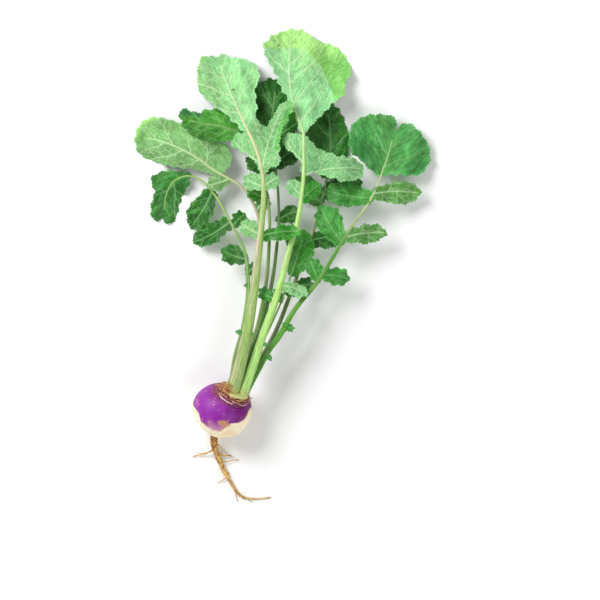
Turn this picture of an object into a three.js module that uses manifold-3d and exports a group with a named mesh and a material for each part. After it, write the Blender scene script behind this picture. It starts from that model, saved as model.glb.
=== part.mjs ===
// A young purple-top turnip with its leaves on, pulled and laid on its side.
// Millimetres, +Z up. It lies on the plane z = 0 with its leaves towards +Y and its tail towards -Y.
// The origin is the middle of the small flat spot under the swollen root.
import * as THREE from 'three';
import { mergeVertices } from 'three/addons/utils/BufferGeometryUtils.js';
import Module from 'manifold-3d';

const wasm = await Module();
wasm.setup();

// Swollen root
const BULB_CENTRE = new THREE.Vector3(-1.1, -1.1, 21.55);
const BULB_LEAN = THREE.MathUtils.degToRad(26); // turn of its axis from +Y towards +X
const BULB_RISE = THREE.MathUtils.degToRad(28); // how far its crown points up off the surface
const BULB_SWAY = new THREE.Vector3(3.1, -1.6, 0); // sideways drift of the axis at both ends
const BULB_HALF_LENGTH = 24;
const BULB_SIDES = 30;
const BULB_OUT_OF_ROUND = [ // share of the radius, waves round the axis and turn in radians
  [0.016, 2, 0.7], [0.01, 3, 2],
];
const BULB_TWIST = 9; // distance along the axis over which the last of these turns by a radian
const CUT_SIZE = 300; // side of the block that cuts the root off level at z = 0
const NECK_TOP = 25; // from the bulb's middle to the flat crown that the stalks grow from
// Distance along the axis and radius: tail end, cheeks, shoulder, three leaf-scar rings, neck.
const BULB_PROFILE = [
  [-25.5, 3.0], [-23.9, 4.3], [-22.3, 7.4], [-19.9, 11.6], [-16.2, 15.9], [-11.4, 19.5], [-5.8, 22.3],
  [0, 23.2], [5.8, 22.9], [11, 21.2], [15, 18.9], [17.8, 16.3], [18.3, 15.1], [19.9, 14.6],
  [20.3, 13.4], [21.7, 12.9], [22.1, 11.9], [23.1, 11.6], [23.6, 11.0], [NECK_TOP, 11.0],
];

// Tail and side rootlets: middle-line points, then radius at the thick and the thin end
const TAIL = {
  points: [
    [-5.6, -18.5, 12.6], [-6.8, -23, 10.2], [-5.8, -32, 6.4], [-3.2, -40, 4.0], [0.8, -49, 2.9],
    [6.2, -58.4, 2.4], [11.6, -67.2, 1.9], [16.4, -71.2, 1.5], [24, -72.4, 1.2], [32, -72.2, 0.9],
    [39.5, -71.2, 0.7],
  ],
  ends: [3.1, 0.45],
};
const ROOTLETS = [
  { points: [[-5.6, -31, 7], [-11, -34.6, 4.6], [-17, -36.4, 2.2], [-24.5, -38.6, 0.7]], ends: [1.1, 0.45] },
  { points: [[-4.4, -34, 6], [0, -37.2, 4], [3, -37.6, 2.6], [7, -37.4, 1.6]], ends: [0.95, 0.45] },
  { points: [[-2.4, -41, 4], [2.8, -42.4, 3], [8, -41.2, 1.8], [13.4, -41, 0.8]], ends: [0.8, 0.4] },
  { points: [[-5.2, -27, 8.6], [-1.6, -30, 8.2], [1.4, -33.6, 6.4], [3.4, -37, 3.2]], ends: [0.8, 0.4] },
  { points: [[2.6, -50.4, 3], [4.6, -51.6, 2.6], [5.2, -52.6, 1.6]], ends: [1.0, 0.5] },
  { points: [[3.4, -55, 2.6], [-0.4, -57.6, 1.6], [-4.4, -60, 0.7]], ends: [0.8, 0.4] },
  { points: [[10.6, -66, 2], [10.8, -71, 1.2], [12.4, -75.4, 0.6]], ends: [0.7, 0.4] },
];
const TAIL_SIDES = 8;
const ROOTLET_SIDES = 5;
const TAIL_STEP = 4.5; // spacing of the sections along the tail
const ROOTLET_STEP = 6;
const KNOB_HEIGHT = 0.08; // share by which a knob of the tail is thicker or thinner

// Leaves
const SEAT_GAP = 0.3; // clear space between the crown and the foot of each stalk
const STALK_START = 6; // how far a stalk follows the bulb's axis before it turns off
const STALK_TAPER = 1.25;
const STALK_TIP = 0.9; // width of the midrib at the leaf's tip
const RIB_DEPTH = 1.2; // its depth there
const STALK_SIDES = 6;
const STALK_STEP = 15; // spacing of the sections along a stalk
const BLADE_THICKNESS = 0.8;
const TOOTH_SPACING = 8.2;
const TOOTH_DEPTH = 2.1; // of the deepest tooth; the others are less by chance
const SMALLEST_TOOTH = 0.3; // as a share of the deepest
// Rings of points inside a blade: share of the way out from its middle, and how many points of the
// rim each of theirs stands for
const BLADE_RINGS = [[0.68, 2], [0.34, 4]];
const END_REACH = 26; // distance from the midrib at which an end lobe's arch is full
const LOBE_SHAPE = [ // along a side lobe and aside from its middle line, as shares of length and width
  [0, -0.2], [0.28, -0.36], [0.6, -0.5], [0.86, -0.36], [1, -0.04],
  [0.88, 0.34], [0.6, 0.5], [0.3, 0.38], [0, 0.22],
];
const RIPPLES = [ // height, wavelength and turn of the waves in a blade
  [2.6, 38, 0.4], [1.5, 23, 2.1],
];
const RIPPLE_REACH = 14; // distance from the midrib at which the waves are full

// Each leaf: its stalk's seat on the crown (right, up), the stalk's width and depth at its foot,
// its midrib, the outline of its end lobe, and its side lobes. Seen from above, lobes are given
// either as an outline or by the share of the midrib they grow at, side (1 is left of the way
// the leaf grows), angle from the midrib, length, width and how far the tip lifts.
const LEAVES = [
  {
    name: 'leaf_tall_left', seat: [-3.3, 4.6], foot: [10.4, 5.6], seed: 1, arch: 3,
    rib: [
      [17.6, 48, 48], [24, 82, 50.5], [28.6, 118, 49], [31.2, 142, 46], [33.6, 173, 40], [32, 191, 35.5],
      [27.7, 208, 31], [17.6, 230, 25], [11.2, 244, 20], [3.4, 262, 12], [-1.6, 277, 5],
    ],
    end: [
      [18, 223], [25.6, 234], [26.8, 246], [25.6, 259], [28.8, 266], [26.8, 276], [17.6, 281.6],
      [8, 283], [0, 285], [-8, 283], [-14.4, 284], [-18.6, 278], [-19.4, 266], [-18, 256],
      [-8, 246.4], [0.8, 239], [10.6, 231],
    ],
    lobes: [
      {
        outline: [
          [32, 190], [40, 194.5], [45.4, 196], [44.8, 208], [46.8, 221], [52, 233], [56, 244],
          [51.5, 246.5], [46, 243], [40.4, 231.6], [34.2, 226], [25.6, 233], [18.5, 225], [26, 212],
        ],
        lift: 3,
      },
      { outline: [[29, 197], [20, 205.5], [10, 210.5], [8.6, 216], [19, 221.5], [25, 213]], lift: -3 },
      { at: 0.6, side: 1, angle: 62, length: 17, width: 12, lift: -2 },
      { at: 0.6, side: -1, angle: 58, length: 14, width: 11, lift: 2 },
      { at: 0.46, side: 1, angle: 66, length: 17, width: 13, lift: -3 },
      { at: 0.455, side: -1, angle: 76, length: 31, width: 11, lift: 1.5 },
    ],
  },
  {
    name: 'leaf_tall_centre', seat: [5.2, 1.2], foot: [8, 6.2], seed: 2, arch: 2,
    rib: [
      [26.4, 40, 42], [33.6, 62.4, 43.5], [41.4, 83.2, 44], [48.8, 108.8, 43], [55.2, 132.8, 40.5],
      [59.8, 147.4, 39.5], [63.5, 169.6, 36], [65.4, 191.2, 32.5], [65.4, 209.6, 29], [64.8, 222.6, 26.5],
      [60.8, 233.6, 24.5], [56, 250.4, 20.5], [53.6, 272, 13], [55, 296, 4],
    ],
    end: [
      [64.2, 222], [71.7, 228.6], [78.6, 236.4], [88.2, 246], [97, 254.6], [98.6, 263.4], [102.6, 271],
      [101, 279], [95, 288.6], [87, 293.8], [77, 296], [71.4, 300], [65.6, 304.2], [55, 305.5],
      [41.3, 300.7], [34, 292], [36.6, 282], [41.3, 273.8], [47.4, 260], [56, 245], [60.4, 232],
    ],
    lobes: [
      {
        outline: [
          [65.6, 188], [73, 190.4], [84, 187.6], [99, 183.4], [111, 186.4], [112.8, 193.6],
          [108, 199], [100, 201], [90.7, 202.6], [82.9, 206], [74.2, 210.4], [66.4, 218],
        ],
        lift: -2,
      },
      { outline: [[65.4, 197], [57.6, 205], [50.4, 212], [49.8, 218.6], [57, 221], [65, 218]], lift: -3 },
      { at: 0.545, side: -1, angle: 40, length: 20, width: 11, lift: -3 },
      { at: 0.56, side: 1, angle: 50, length: 15, width: 11, lift: -4 },
      { at: 0.31, side: -1, angle: 92, length: 23, width: 9, lift: 1 },
      { at: 0.27, side: 1, angle: 80, length: 15, width: 9, lift: -4 },
    ],
  },
  {
    name: 'leaf_right', seat: [7.6, -4.7], foot: [6, 5], seed: 3, arch: 1,
    rib: [
      [29, 33, 35], [37.4, 48, 36.5], [46, 59.4, 37], [58, 80, 37], [77.6, 104.3, 34.5],
      [100, 140.8, 29], [109.4, 154.6, 26.5], [118.4, 167.5, 23.5], [126, 184, 19], [129.8, 195, 16],
      [133.4, 205, 13], [136.4, 216, 9],
    ],
    end: [
      [127.4, 188], [135, 189.6], [146, 189], [159, 189.6], [165.4, 198.8], [166.4, 209.8],
      [159.6, 221], [152, 229], [145.4, 229], [138.4, 222.5], [139, 233], [130, 236.4], [118.6, 236],
      [107.6, 231.4], [102.4, 220.8], [104, 207], [113, 199.4], [120.4, 192],
    ],
    lobes: [
      { at: 0.8, side: -1, angle: 62, length: 37, width: 17, lift: -6 },
      { at: 0.785, side: 1, angle: 110, length: 37, width: 19, lift: -4 },
      { at: 0.62, side: -1, angle: 50, length: 32, width: 14, lift: -6 },
      { at: 0.6, side: 1, angle: 62, length: 33, width: 20, lift: 1 },
      { at: 0.45, side: 1, angle: 58, length: 18, width: 12, lift: 2 },
      { at: 0.47, side: -1, angle: 62, length: 21, width: 13, lift: -8 },
      { at: 0.25, side: -1, angle: 60, length: 7, width: 5, lift: 0 },
    ],
  },
  {
    name: 'leaf_far_left', seat: [-4.4, -5.6], foot: [5.2, 4.4], seed: 4, arch: 0,
    rib: [
      [14, 44, 29.5], [20, 70, 28], [26, 100, 25.5], [30, 130, 23], [28, 158, 20], [16, 178.4, 17],
      [4.8, 185.8, 14.6], [-6.4, 192, 12.5], [-20, 202, 9.5], [-33.6, 209.6, 7.5], [-49.6, 216, 4],
      [-61, 218.4, 1],
    ],
    end: [
      [-69.6, 216.8], [-68, 225], [-63.2, 232], [-54.4, 234.6], [-39.2, 232], [-28, 225],
      [-18, 218.4], [-6, 216], [3, 211], [7, 202.4], [3, 193], [-8, 190], [-21.6, 193.6],
      [-34, 195], [-50.4, 198.8], [-66, 206],
    ],
    lobes: [
      { at: 0.7, side: 1, angle: 50, length: 18, width: 12, lift: -1 },
      { at: 0.56, side: -1, angle: 60, length: 13, width: 10, lift: -1 },
    ],
  },
  {
    name: 'leaf_drooping_left', seat: [-7, -0.8], foot: [5.2, 4.4], seed: 5, arch: 2,
    rib: [
      [11, 42, 36.5], [17, 65, 36], [20.6, 90, 33], [20.4, 110, 29.5], [18.4, 125.6, 26.5],
      [12, 140, 22.5], [3.2, 156.8, 16.5], [-6.4, 172.8, 11], [-17.6, 184.6, 7.5], [-28, 188, 6],
      [-39, 184, 4], [-45.6, 173, 1.5], [-47.4, 161, 0.5],
    ],
    end: [
      [-27, 189], [-29.4, 178], [-35, 168], [-38, 156], [-43, 150], [-49, 154], [-55, 152.6],
      [-57, 164], [-54, 176], [-57, 185], [-50, 191], [-40, 191.5],
    ],
    lobes: [
      { at: 0.73, side: 1, angle: 112, length: 33, width: 19, lift: -6 },
      { at: 0.6, side: 1, angle: 92, length: 34, width: 16, lift: -9 },
      { at: 0.58, side: -1, angle: 70, length: 14, width: 10, lift: -2 },
      { at: 0.45, side: 1, angle: 62, length: 20, width: 15, lift: -5 },
      { at: 0.4, side: -1, angle: 50, length: 10, width: 8, lift: 3 },
    ],
  },
  {
    name: 'leaf_back_centre', seat: [-1.2, -1.2], foot: [4.8, 4.0], seed: 6, arch: 3,
    rib: [
      [22, 44, 37.5], [31, 64, 37], [37, 88, 35], [41, 108, 32], [43, 123, 29.5], [45.4, 152, 23.5],
      [44, 184, 16.5], [40, 208, 11.5], [39, 226, 8], [41, 244, 4], [42, 256, 1],
    ],
    end: [
      [40.6, 209], [52, 215], [61, 229], [63, 244], [58, 256], [49, 264], [36, 265], [24, 258],
      [19, 244], [24, 228], [32, 214],
    ],
    lobes: [
      { at: 0.75, side: -1, angle: 60, length: 25, width: 17, lift: -3 },
      { at: 0.74, side: 1, angle: 62, length: 24, width: 15, lift: -2 },
      { at: 0.57, side: -1, angle: 62, length: 18, width: 13, lift: -4 },
    ],
  },
  {
    name: 'leaf_back_left', seat: [0.8, -6.2], foot: [4.8, 4.2], seed: 7, arch: 2,
    rib: [
      [21.6, 45, 30.5], [29.6, 70, 30], [35, 100, 28.5], [37.6, 130, 26.5], [37.6, 160, 24.5],
      [32.5, 190, 22], [23, 212, 19.6], [12, 222.6, 17.8], [-2, 227.6, 16], [-16, 230, 14],
      [-27, 232.4, 12],
    ],
    end: [
      [20, 217], [18, 227], [6, 237], [-8, 240.5], [-20, 238], [-33, 240.8], [-32, 231],
      [-27, 223.6], [-13.6, 217], [2.4, 216],
    ],
    lobes: [
      { at: 0.6, side: 1, angle: 56, length: 17, width: 12, lift: -2 },
    ],
  },
  {
    name: 'leaf_back_right', seat: [5.2, -9.1], foot: [4.8, 3.8], seed: 8, arch: 4,
    rib: [
      [26, 32, 26.5], [33, 44, 25.5], [43, 63, 25], [56, 96, 22], [66, 124, 18], [76, 152, 12.5],
      [82, 176, 8.5], [86, 200, 6], [87, 220, 4], [85.6, 238, 1],
    ],
    end: [
      [84.6, 187], [95, 194], [101, 209], [99.6, 227], [93, 241], [84, 247.4], [74, 240],
      [68.6, 226], [69, 208], [75, 193],
    ],
    lobes: [
      { at: 0.72, side: -1, angle: 58, length: 31, width: 19, lift: -3 },
      { at: 0.69, side: 1, angle: 60, length: 27, width: 18, lift: -3 },
      { at: 0.55, side: -1, angle: 60, length: 25, width: 16, lift: -6 },
      { at: 0.5, side: 1, angle: 56, length: 20, width: 14, lift: -4 },
      { at: 0.38, side: -1, angle: 60, length: 16, width: 11, lift: -6 },
    ],
  },
  {
    name: 'leaf_young', seat: [2.6, -3.2], foot: [2.5, 2.4], seed: 9, arch: 2,
    rib: [[26, 40, 35.5], [35.4, 60, 35], [46, 83, 33], [54, 104, 31], [60, 122, 29], [64, 136, 27]],
    end: [
      [56, 107], [65, 112], [71.6, 122], [72.6, 134], [66.6, 143], [59, 139.6], [54.6, 128], [52.6, 116],
    ],
    lobes: [
      { at: 0.66, side: -1, angle: 58, length: 13, width: 9, lift: -1 },
      { at: 0.6, side: 1, angle: 56, length: 9, width: 7, lift: -2 },
    ],
  },
];

// Looks of each kind of piece
const rootSkin = () => new THREE.MeshStandardMaterial({ color: 0x9a48b0, roughness: 0.45, metalness: 0 });
const leafSkin = () => new THREE.MeshStandardMaterial({ color: 0x4f9a4a, roughness: 0.6, metalness: 0 });

// A number from 0 to 1 that is the same for the same count and seed
function chance(count, seed) {
  const value = Math.sin(count * 12.9898 + seed * 78.233) * 43758.5453;
  return value - Math.floor(value);
}

const curveThrough = (points, closed = false) =>
  new THREE.CatmullRomCurve3(points.map((p) => new THREE.Vector3(...p)), closed, 'centripetal');

// Directions of the bulb: along its axis to the crown, to its right, and up and back over it
const axis = new THREE.Vector3(
  Math.sin(BULB_LEAN) * Math.cos(BULB_RISE),
  Math.cos(BULB_LEAN) * Math.cos(BULB_RISE),
  Math.sin(BULB_RISE),
);
const right = new THREE.Vector3(Math.cos(BULB_LEAN), -Math.sin(BULB_LEAN), 0);
const up = new THREE.Vector3().crossVectors(right, axis);

// A point of the bulb's frame: distance along the axis, then right and up from it
function inBulb(along, toRight, upwards) {
  const share = along / BULB_HALF_LENGTH;
  return BULB_CENTRE.clone()
    .addScaledVector(axis, along)
    .addScaledVector(BULB_SWAY, share * share)
    .addScaledVector(right, toRight)
    .addScaledVector(up, upwards);
}

function geometryOf(points, triangles) {
  const geometry = new THREE.BufferGeometry().setFromPoints(points);
  geometry.setIndex(triangles);
  return geometry;
}

function solidOf(geometry) {
  return new wasm.Manifold(new wasm.Mesh({
    numProp: 3,
    vertProperties: new Float32Array(geometry.attributes.position.array),
    triVerts: new Uint32Array(geometry.index.array),
  }));
}

function geometryFrom(solid) {
  const mesh = solid.getMesh();
  const geometry = new THREE.BufferGeometry();
  geometry.setAttribute('position', new THREE.BufferAttribute(mesh.vertProperties, 3));
  geometry.setIndex(new THREE.BufferAttribute(mesh.triVerts, 1));
  geometry.computeVertexNormals();
  return geometry;
}

// A closed skin over rings of points, each ring turning left about the way from first to last
function loft(rings) {
  const sides = rings[0].length;
  const points = rings.flat();
  const triangles = [];
  for (let r = 0; r + 1 < rings.length; r += 1) {
    for (let i = 0; i < sides; i += 1) {
      const a = r * sides + i;
      const b = r * sides + ((i + 1) % sides);
      triangles.push(a, b, b + sides, a, b + sides, a + sides);
    }
  }
  for (let i = 1; i + 1 < sides; i += 1) {
    const last = (rings.length - 1) * sides;
    triangles.push(0, i + 1, i, last, last + i, last + i + 1);
  }
  return geometryOf(points, triangles);
}

// Sideways and upward directions across a curve
function across(curve, share) {
  const along = curve.getTangentAt(share);
  const side = new THREE.Vector3(along.y, -along.x, 0).normalize();
  return { side, over: new THREE.Vector3().crossVectors(side, along) };
}

// A tube along a curve whose half width and half depth change along it
function tube(curve, sides, steps, halfWidth, halfDepth) {
  const rings = [];
  for (let s = 0; s <= steps; s += 1) {
    const share = s / steps;
    const middle = curve.getPointAt(share);
    const { side, over } = across(curve, share);
    rings.push(Array.from({ length: sides }, (_, i) => {
      const turn = (i / sides) * 2 * Math.PI;
      return middle.clone()
        .addScaledVector(side, halfWidth(share) * Math.cos(turn))
        .addScaledVector(over, -halfDepth(share) * Math.sin(turn));
    }));
  }
  return loft(rings);
}

function bulb() {
  const rings = BULB_PROFILE.map(([along, radius]) => Array.from({ length: BULB_SIDES }, (_, i) => {
    const turn = (i / BULB_SIDES) * 2 * Math.PI;
    const [oval, cornered] = BULB_OUT_OF_ROUND;
    const uneven = 1 + oval[0] * Math.sin(oval[1] * turn + oval[2])
      + cornered[0] * Math.sin(cornered[1] * turn + cornered[2] + along / BULB_TWIST);
    const reach = radius * (along < NECK_TOP - 2 ? uneven : 1);
    return inBulb(along, reach * Math.cos(turn), -reach * Math.sin(turn));
  }));
  return loft(rings);
}

// A root of round section, thinning evenly, with slight swellings if it has knobs
function rootTube({ points, ends: [thick, thin] }, sides, step, knobHeight) {
  const curve = curveThrough(points);
  const steps = Math.max(4, Math.round(curve.getLength() / step));
  const radius = (share) => {
    const knob = 1 + knobHeight * (2 * chance(Math.round(share * steps), 5) - 1);
    return (thin + (thick - thin) * (1 - share) ** 0.8) * knob;
  };
  return tube(curve, sides, steps, radius, radius);
}

// The bulb, tail and rootlets in one, cut off level at the surface that it lies on
function storageRoot() {
  let solid = solidOf(bulb());
  solid = solid.add(solidOf(rootTube(TAIL, TAIL_SIDES, TAIL_STEP, KNOB_HEIGHT)));
  for (const rootlet of ROOTLETS) {
    solid = solid.add(solidOf(rootTube(rootlet, ROOTLET_SIDES, ROOTLET_STEP, 0)));
  }
  const belowSurface = new THREE.BoxGeometry(CUT_SIZE, CUT_SIZE, CUT_SIZE);
  belowSurface.translate(0, 0, -CUT_SIZE / 2);
  belowSurface.deleteAttribute('normal');
  belowSurface.deleteAttribute('uv');
  return solid.subtract(solidOf(mergeVertices(belowSurface)));
}

// Half width and half depth of a leaf's stalk and midrib at a share of its length
function stalkSize(leaf) {
  const thin = (share) => (1 - share) ** STALK_TAPER;
  return {
    halfWidth: (share) => (STALK_TIP + (leaf.foot[0] - STALK_TIP) * thin(share)) / 2,
    halfDepth: (share) => (RIB_DEPTH + (leaf.foot[1] - RIB_DEPTH) * thin(share)) / 2,
  };
}

// The midrib starts on the crown, follows the bulb's axis a little way and never dips into the surface
function ribOf(leaf) {
  const foot = inBulb(NECK_TOP + SEAT_GAP, ...leaf.seat);
  const start = foot.clone().addScaledVector(axis, STALK_START);
  const { halfDepth } = stalkSize(leaf);
  const clear = leaf.rib.map(([x, y, z], i) => {
    const share = (i + 2) / (leaf.rib.length + 1);
    return [x, y, Math.max(z, halfDepth(share))];
  });
  return curveThrough([foot.toArray(), start.toArray(), ...clear]);
}

// Nearest place on the midrib, seen from above: its height and how far off it is
function nearestOn(samples, x, y) {
  let best = { distance: Infinity, height: 0 };
  for (let i = 0; i + 1 < samples.length; i += 1) {
    const from = samples[i];
    const dx = samples[i + 1].x - from.x;
    const dy = samples[i + 1].y - from.y;
    const share = THREE.MathUtils.clamp(((x - from.x) * dx + (y - from.y) * dy) / (dx * dx + dy * dy), 0, 1);
    const distance = Math.hypot(x - from.x - share * dx, y - from.y - share * dy);
    if (distance < best.distance) {
      best = { distance, height: THREE.MathUtils.lerp(from.z, samples[i + 1].z, share) };
    }
  }
  return best;
}

// Height of a leaf's blade over a place, with its arch, its waves and the lift of one lobe
function bladeHeight(leaf, samples, lift, reach, x, y) {
  const { distance, height } = nearestOn(samples, x, y);
  const out = distance / reach;
  const fade = Math.min(1, (distance / RIPPLE_REACH) ** 1.5);
  let ripple = 0;
  RIPPLES.forEach(([tall, long, turn], i) => {
    const way = turn + leaf.seed * 1.3;
    const phase = 2 * Math.PI * chance(i, leaf.seed);
    ripple += tall * Math.sin((2 * Math.PI * (x * Math.cos(way) + y * Math.sin(way))) / long + phase);
  });
  const z = height + lift * out ** 1.3 - leaf.arch * out * out + fade * ripple;
  return Math.max(z, BLADE_THICKNESS / 2);
}

// Outline of a side lobe, seen from above, that grows from the midrib
function sideLobe(rib, { at, side, angle, length, width }) {
  const foot = rib.getPointAt(at);
  const way = rib.getTangentAt(at);
  const turn = Math.atan2(way.y, way.x) + side * THREE.MathUtils.degToRad(angle);
  return LOBE_SHAPE.map(([along, aside]) => [
    foot.x + along * length * Math.cos(turn) - aside * width * Math.sin(turn),
    foot.y + along * length * Math.sin(turn) + aside * width * Math.cos(turn),
  ]);
}

// A toothed blade: rings of points shrink from its rim to its middle, each with half the points,
// and both faces share one set of triangles
function blade(outline, height, seed) {
  const curve = curveThrough(outline.map(([x, y]) => [x, y, 0]), true);
  const teeth = 4 * Math.max(2, Math.round(curve.getLength() / TOOTH_SPACING / 4));
  const count = 2 * teeth;
  const smooth = curve.getSpacedPoints(count).slice(0, count);
  const middle = smooth.reduce((sum, p) => sum.add(p), new THREE.Vector3()).divideScalar(count);
  const turnsLeft = THREE.ShapeUtils.area(smooth) > 0;
  if (!turnsLeft) smooth.reverse();
  const rim = smooth.map((p, i) => {
    if (i % 2 === 0) return p.clone();
    const before = smooth[i - 1];
    const after = smooth[(i + 1) % count];
    const out = new THREE.Vector3(after.y - before.y, before.x - after.x, 0).normalize();
    const depth = THREE.MathUtils.lerp(SMALLEST_TOOTH, 1, chance(i, seed)) * TOOTH_DEPTH;
    return p.clone().addScaledVector(out, depth);
  });
  const rings = [rim];
  for (const [share, step] of BLADE_RINGS) {
    rings.push(smooth.filter((_, i) => i % step === 0).map((p) => middle.clone().lerp(p, share)));
  }
  const starts = [0, count, count * 1.5];
  const points = [...rings.flat(), middle];
  points.forEach((p) => { p.z = height(p.x, p.y); });
  const face = [];
  for (let r = 0; r < 2; r += 1) {
    const outer = rings[r].length;
    for (let i = 0; i < outer / 2; i += 1) {
      const a = starts[r] + 2 * i;
      const c = starts[r] + ((2 * i + 2) % outer);
      const d = starts[r + 1] + i;
      const e = starts[r + 1] + ((i + 1) % (outer / 2));
      face.push(a, a + 1, d, a + 1, c, e, a + 1, e, d);
    }
  }
  const inner = rings[2].length;
  for (let i = 0; i < inner; i += 1) {
    face.push(starts[2] + i, starts[2] + ((i + 1) % inner), points.length - 1);
  }
  return thicken(points, face, count);
}

// A sheet made into a closed solid. The first points, as many as rim says, run round its edge.
function thicken(points, face, rim) {
  const sheet = geometryOf(points, face);
  sheet.computeVertexNormals();
  const normals = sheet.attributes.normal;
  const offset = (way) => points.map((p, i) => {
    const normal = new THREE.Vector3().fromBufferAttribute(normals, i);
    return p.clone().addScaledVector(normal, (way * BLADE_THICKNESS) / 2);
  });
  const triangles = [...face];
  for (let i = 0; i < face.length; i += 3) {
    triangles.push(points.length + face[i], points.length + face[i + 2], points.length + face[i + 1]);
  }
  for (let i = 0; i < rim; i += 1) {
    const next = (i + 1) % rim;
    triangles.push(points.length + i, points.length + next, next, points.length + i, next, i);
  }
  return geometryOf([...offset(1), ...offset(-1)], triangles);
}

function leafSolid(leaf) {
  const rib = ribOf(leaf);
  const { halfWidth, halfDepth } = stalkSize(leaf);
  const samples = rib.getSpacedPoints(80);
  const steps = Math.round(rib.getLength() / STALK_STEP);
  let solid = solidOf(tube(rib, STALK_SIDES, steps, halfWidth, halfDepth));
  const endHeight = (x, y) => bladeHeight(leaf, samples, 0, END_REACH, x, y);
  solid = solid.add(solidOf(blade(leaf.end, endHeight, leaf.seed)));
  leaf.lobes.forEach((lobe, i) => {
    const outline = lobe.outline ?? sideLobe(rib, lobe);
    const reach = lobe.length ?? END_REACH;
    const height = (x, y) => bladeHeight({ ...leaf, arch: 0 }, samples, lobe.lift, reach, x, y);
    solid = solid.add(solidOf(blade(outline, height, leaf.seed + 0.1 * (i + 1))));
  });
  return solid;
}

const turnip = new THREE.Group();

const root = new THREE.Mesh(geometryFrom(storageRoot()), rootSkin());
root.name = 'storage_root';
turnip.add(root);

for (const leaf of LEAVES) {
  const mesh = new THREE.Mesh(geometryFrom(leafSolid(leaf)), leafSkin());
  mesh.name = leaf.name;
  turnip.add(mesh);
}

export default turnip;
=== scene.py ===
# A young purple-top turnip with its leaves on, laid on a pale floor and seen from straight above.
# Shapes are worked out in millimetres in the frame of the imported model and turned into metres
# when a mesh is made. Each piece replaces the node it is named after and keeps its form.
import math

import bpy
import numpy as np
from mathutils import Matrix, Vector
from mathutils.geometry import delaunay_2d_cdt


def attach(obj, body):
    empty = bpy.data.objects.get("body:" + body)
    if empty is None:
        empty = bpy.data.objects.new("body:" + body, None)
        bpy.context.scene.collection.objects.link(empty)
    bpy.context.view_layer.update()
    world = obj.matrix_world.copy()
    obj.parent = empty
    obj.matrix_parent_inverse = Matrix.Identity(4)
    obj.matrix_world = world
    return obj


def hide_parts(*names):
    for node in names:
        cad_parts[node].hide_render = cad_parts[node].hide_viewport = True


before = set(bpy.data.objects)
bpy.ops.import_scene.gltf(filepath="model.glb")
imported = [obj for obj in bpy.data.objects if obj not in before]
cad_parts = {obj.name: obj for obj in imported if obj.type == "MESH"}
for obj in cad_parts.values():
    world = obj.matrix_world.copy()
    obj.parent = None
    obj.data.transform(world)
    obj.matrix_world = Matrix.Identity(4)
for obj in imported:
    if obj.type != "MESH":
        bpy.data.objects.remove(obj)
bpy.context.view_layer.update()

MM = 0.001
COARSE = 1
CURVE_FINE = 24
NOISE_SPREAD = 43758.5453
NOISE_WAYS = np.array([127.1, 311.7, 74.7])

# Swollen root, as in the model
BULB_CENTRE = np.array([-1.1, -1.1, 21.55])
BULB_LEAN = math.radians(26)
BULB_RISE = math.radians(28)
BULB_SWAY = np.array([3.1, -1.6, 0.0])
BULB_HALF_LENGTH = 24.0
NECK_TOP = 25.0
AXIS = np.array([
    math.sin(BULB_LEAN) * math.cos(BULB_RISE),
    math.cos(BULB_LEAN) * math.cos(BULB_RISE),
    math.sin(BULB_RISE),
])
RIGHT = np.array([math.cos(BULB_LEAN), -math.sin(BULB_LEAN), 0.0])
UP = np.cross(RIGHT, AXIS)
# Distance along the axis and radius, from the tail end over the cheeks to the crown
BULB_PROFILE = [
    (-24.4, 3.0), (-22.8, 4.3), (-21.3, 7.4), (-19.2, 11.6), (-15.8, 15.9), (-11.3, 19.5), (-5.8, 22.3),
    (0, 23.2), (5.8, 22.9), (11, 21.2), (15, 18.9), (17.6, 16.5), (19.3, 14.8), (21.2, 13.2),
    (22.9, 11.7), (24.2, 11.0), (NECK_TOP, 10.4),
]
BLUNT_END = 2.0
BULB_AROUND = 240
BULB_STEP = 0.4
MM_A_DEGREE = 0.38

# Where purple gives way to cream: turn about the axis in degrees, distance along it, softness.
# Seen from above the left of the bulb is at a turn of 180, its top at 270 and its right at 360.
PURPLE_BORDER = [
    (0, 15.5, 0.8), (20, 10.0, 1.5), (60, 3.0, 2.5), (95, -2.0, 3.0), (130, 0.0, 2.5), (160, -2.0, 1.5),
    (180, -3.0, 1.0), (198, -1.8, 0.8), (216, 0.3, 0.8), (232, -0.1, 0.9), (242, -4.3, 1.2),
    (254, -5.2, 1.8), (271, -6.3, 3.6), (281, -5.8, 4.5), (290, -3.2, 4.0), (295, 1.0, 2.0),
    (300, 4.6, 0.9), (308, 6.2, 0.7), (320, 7.1, 0.7), (333, 9.8, 0.7), (343, 14.6, 0.8),
]
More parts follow.
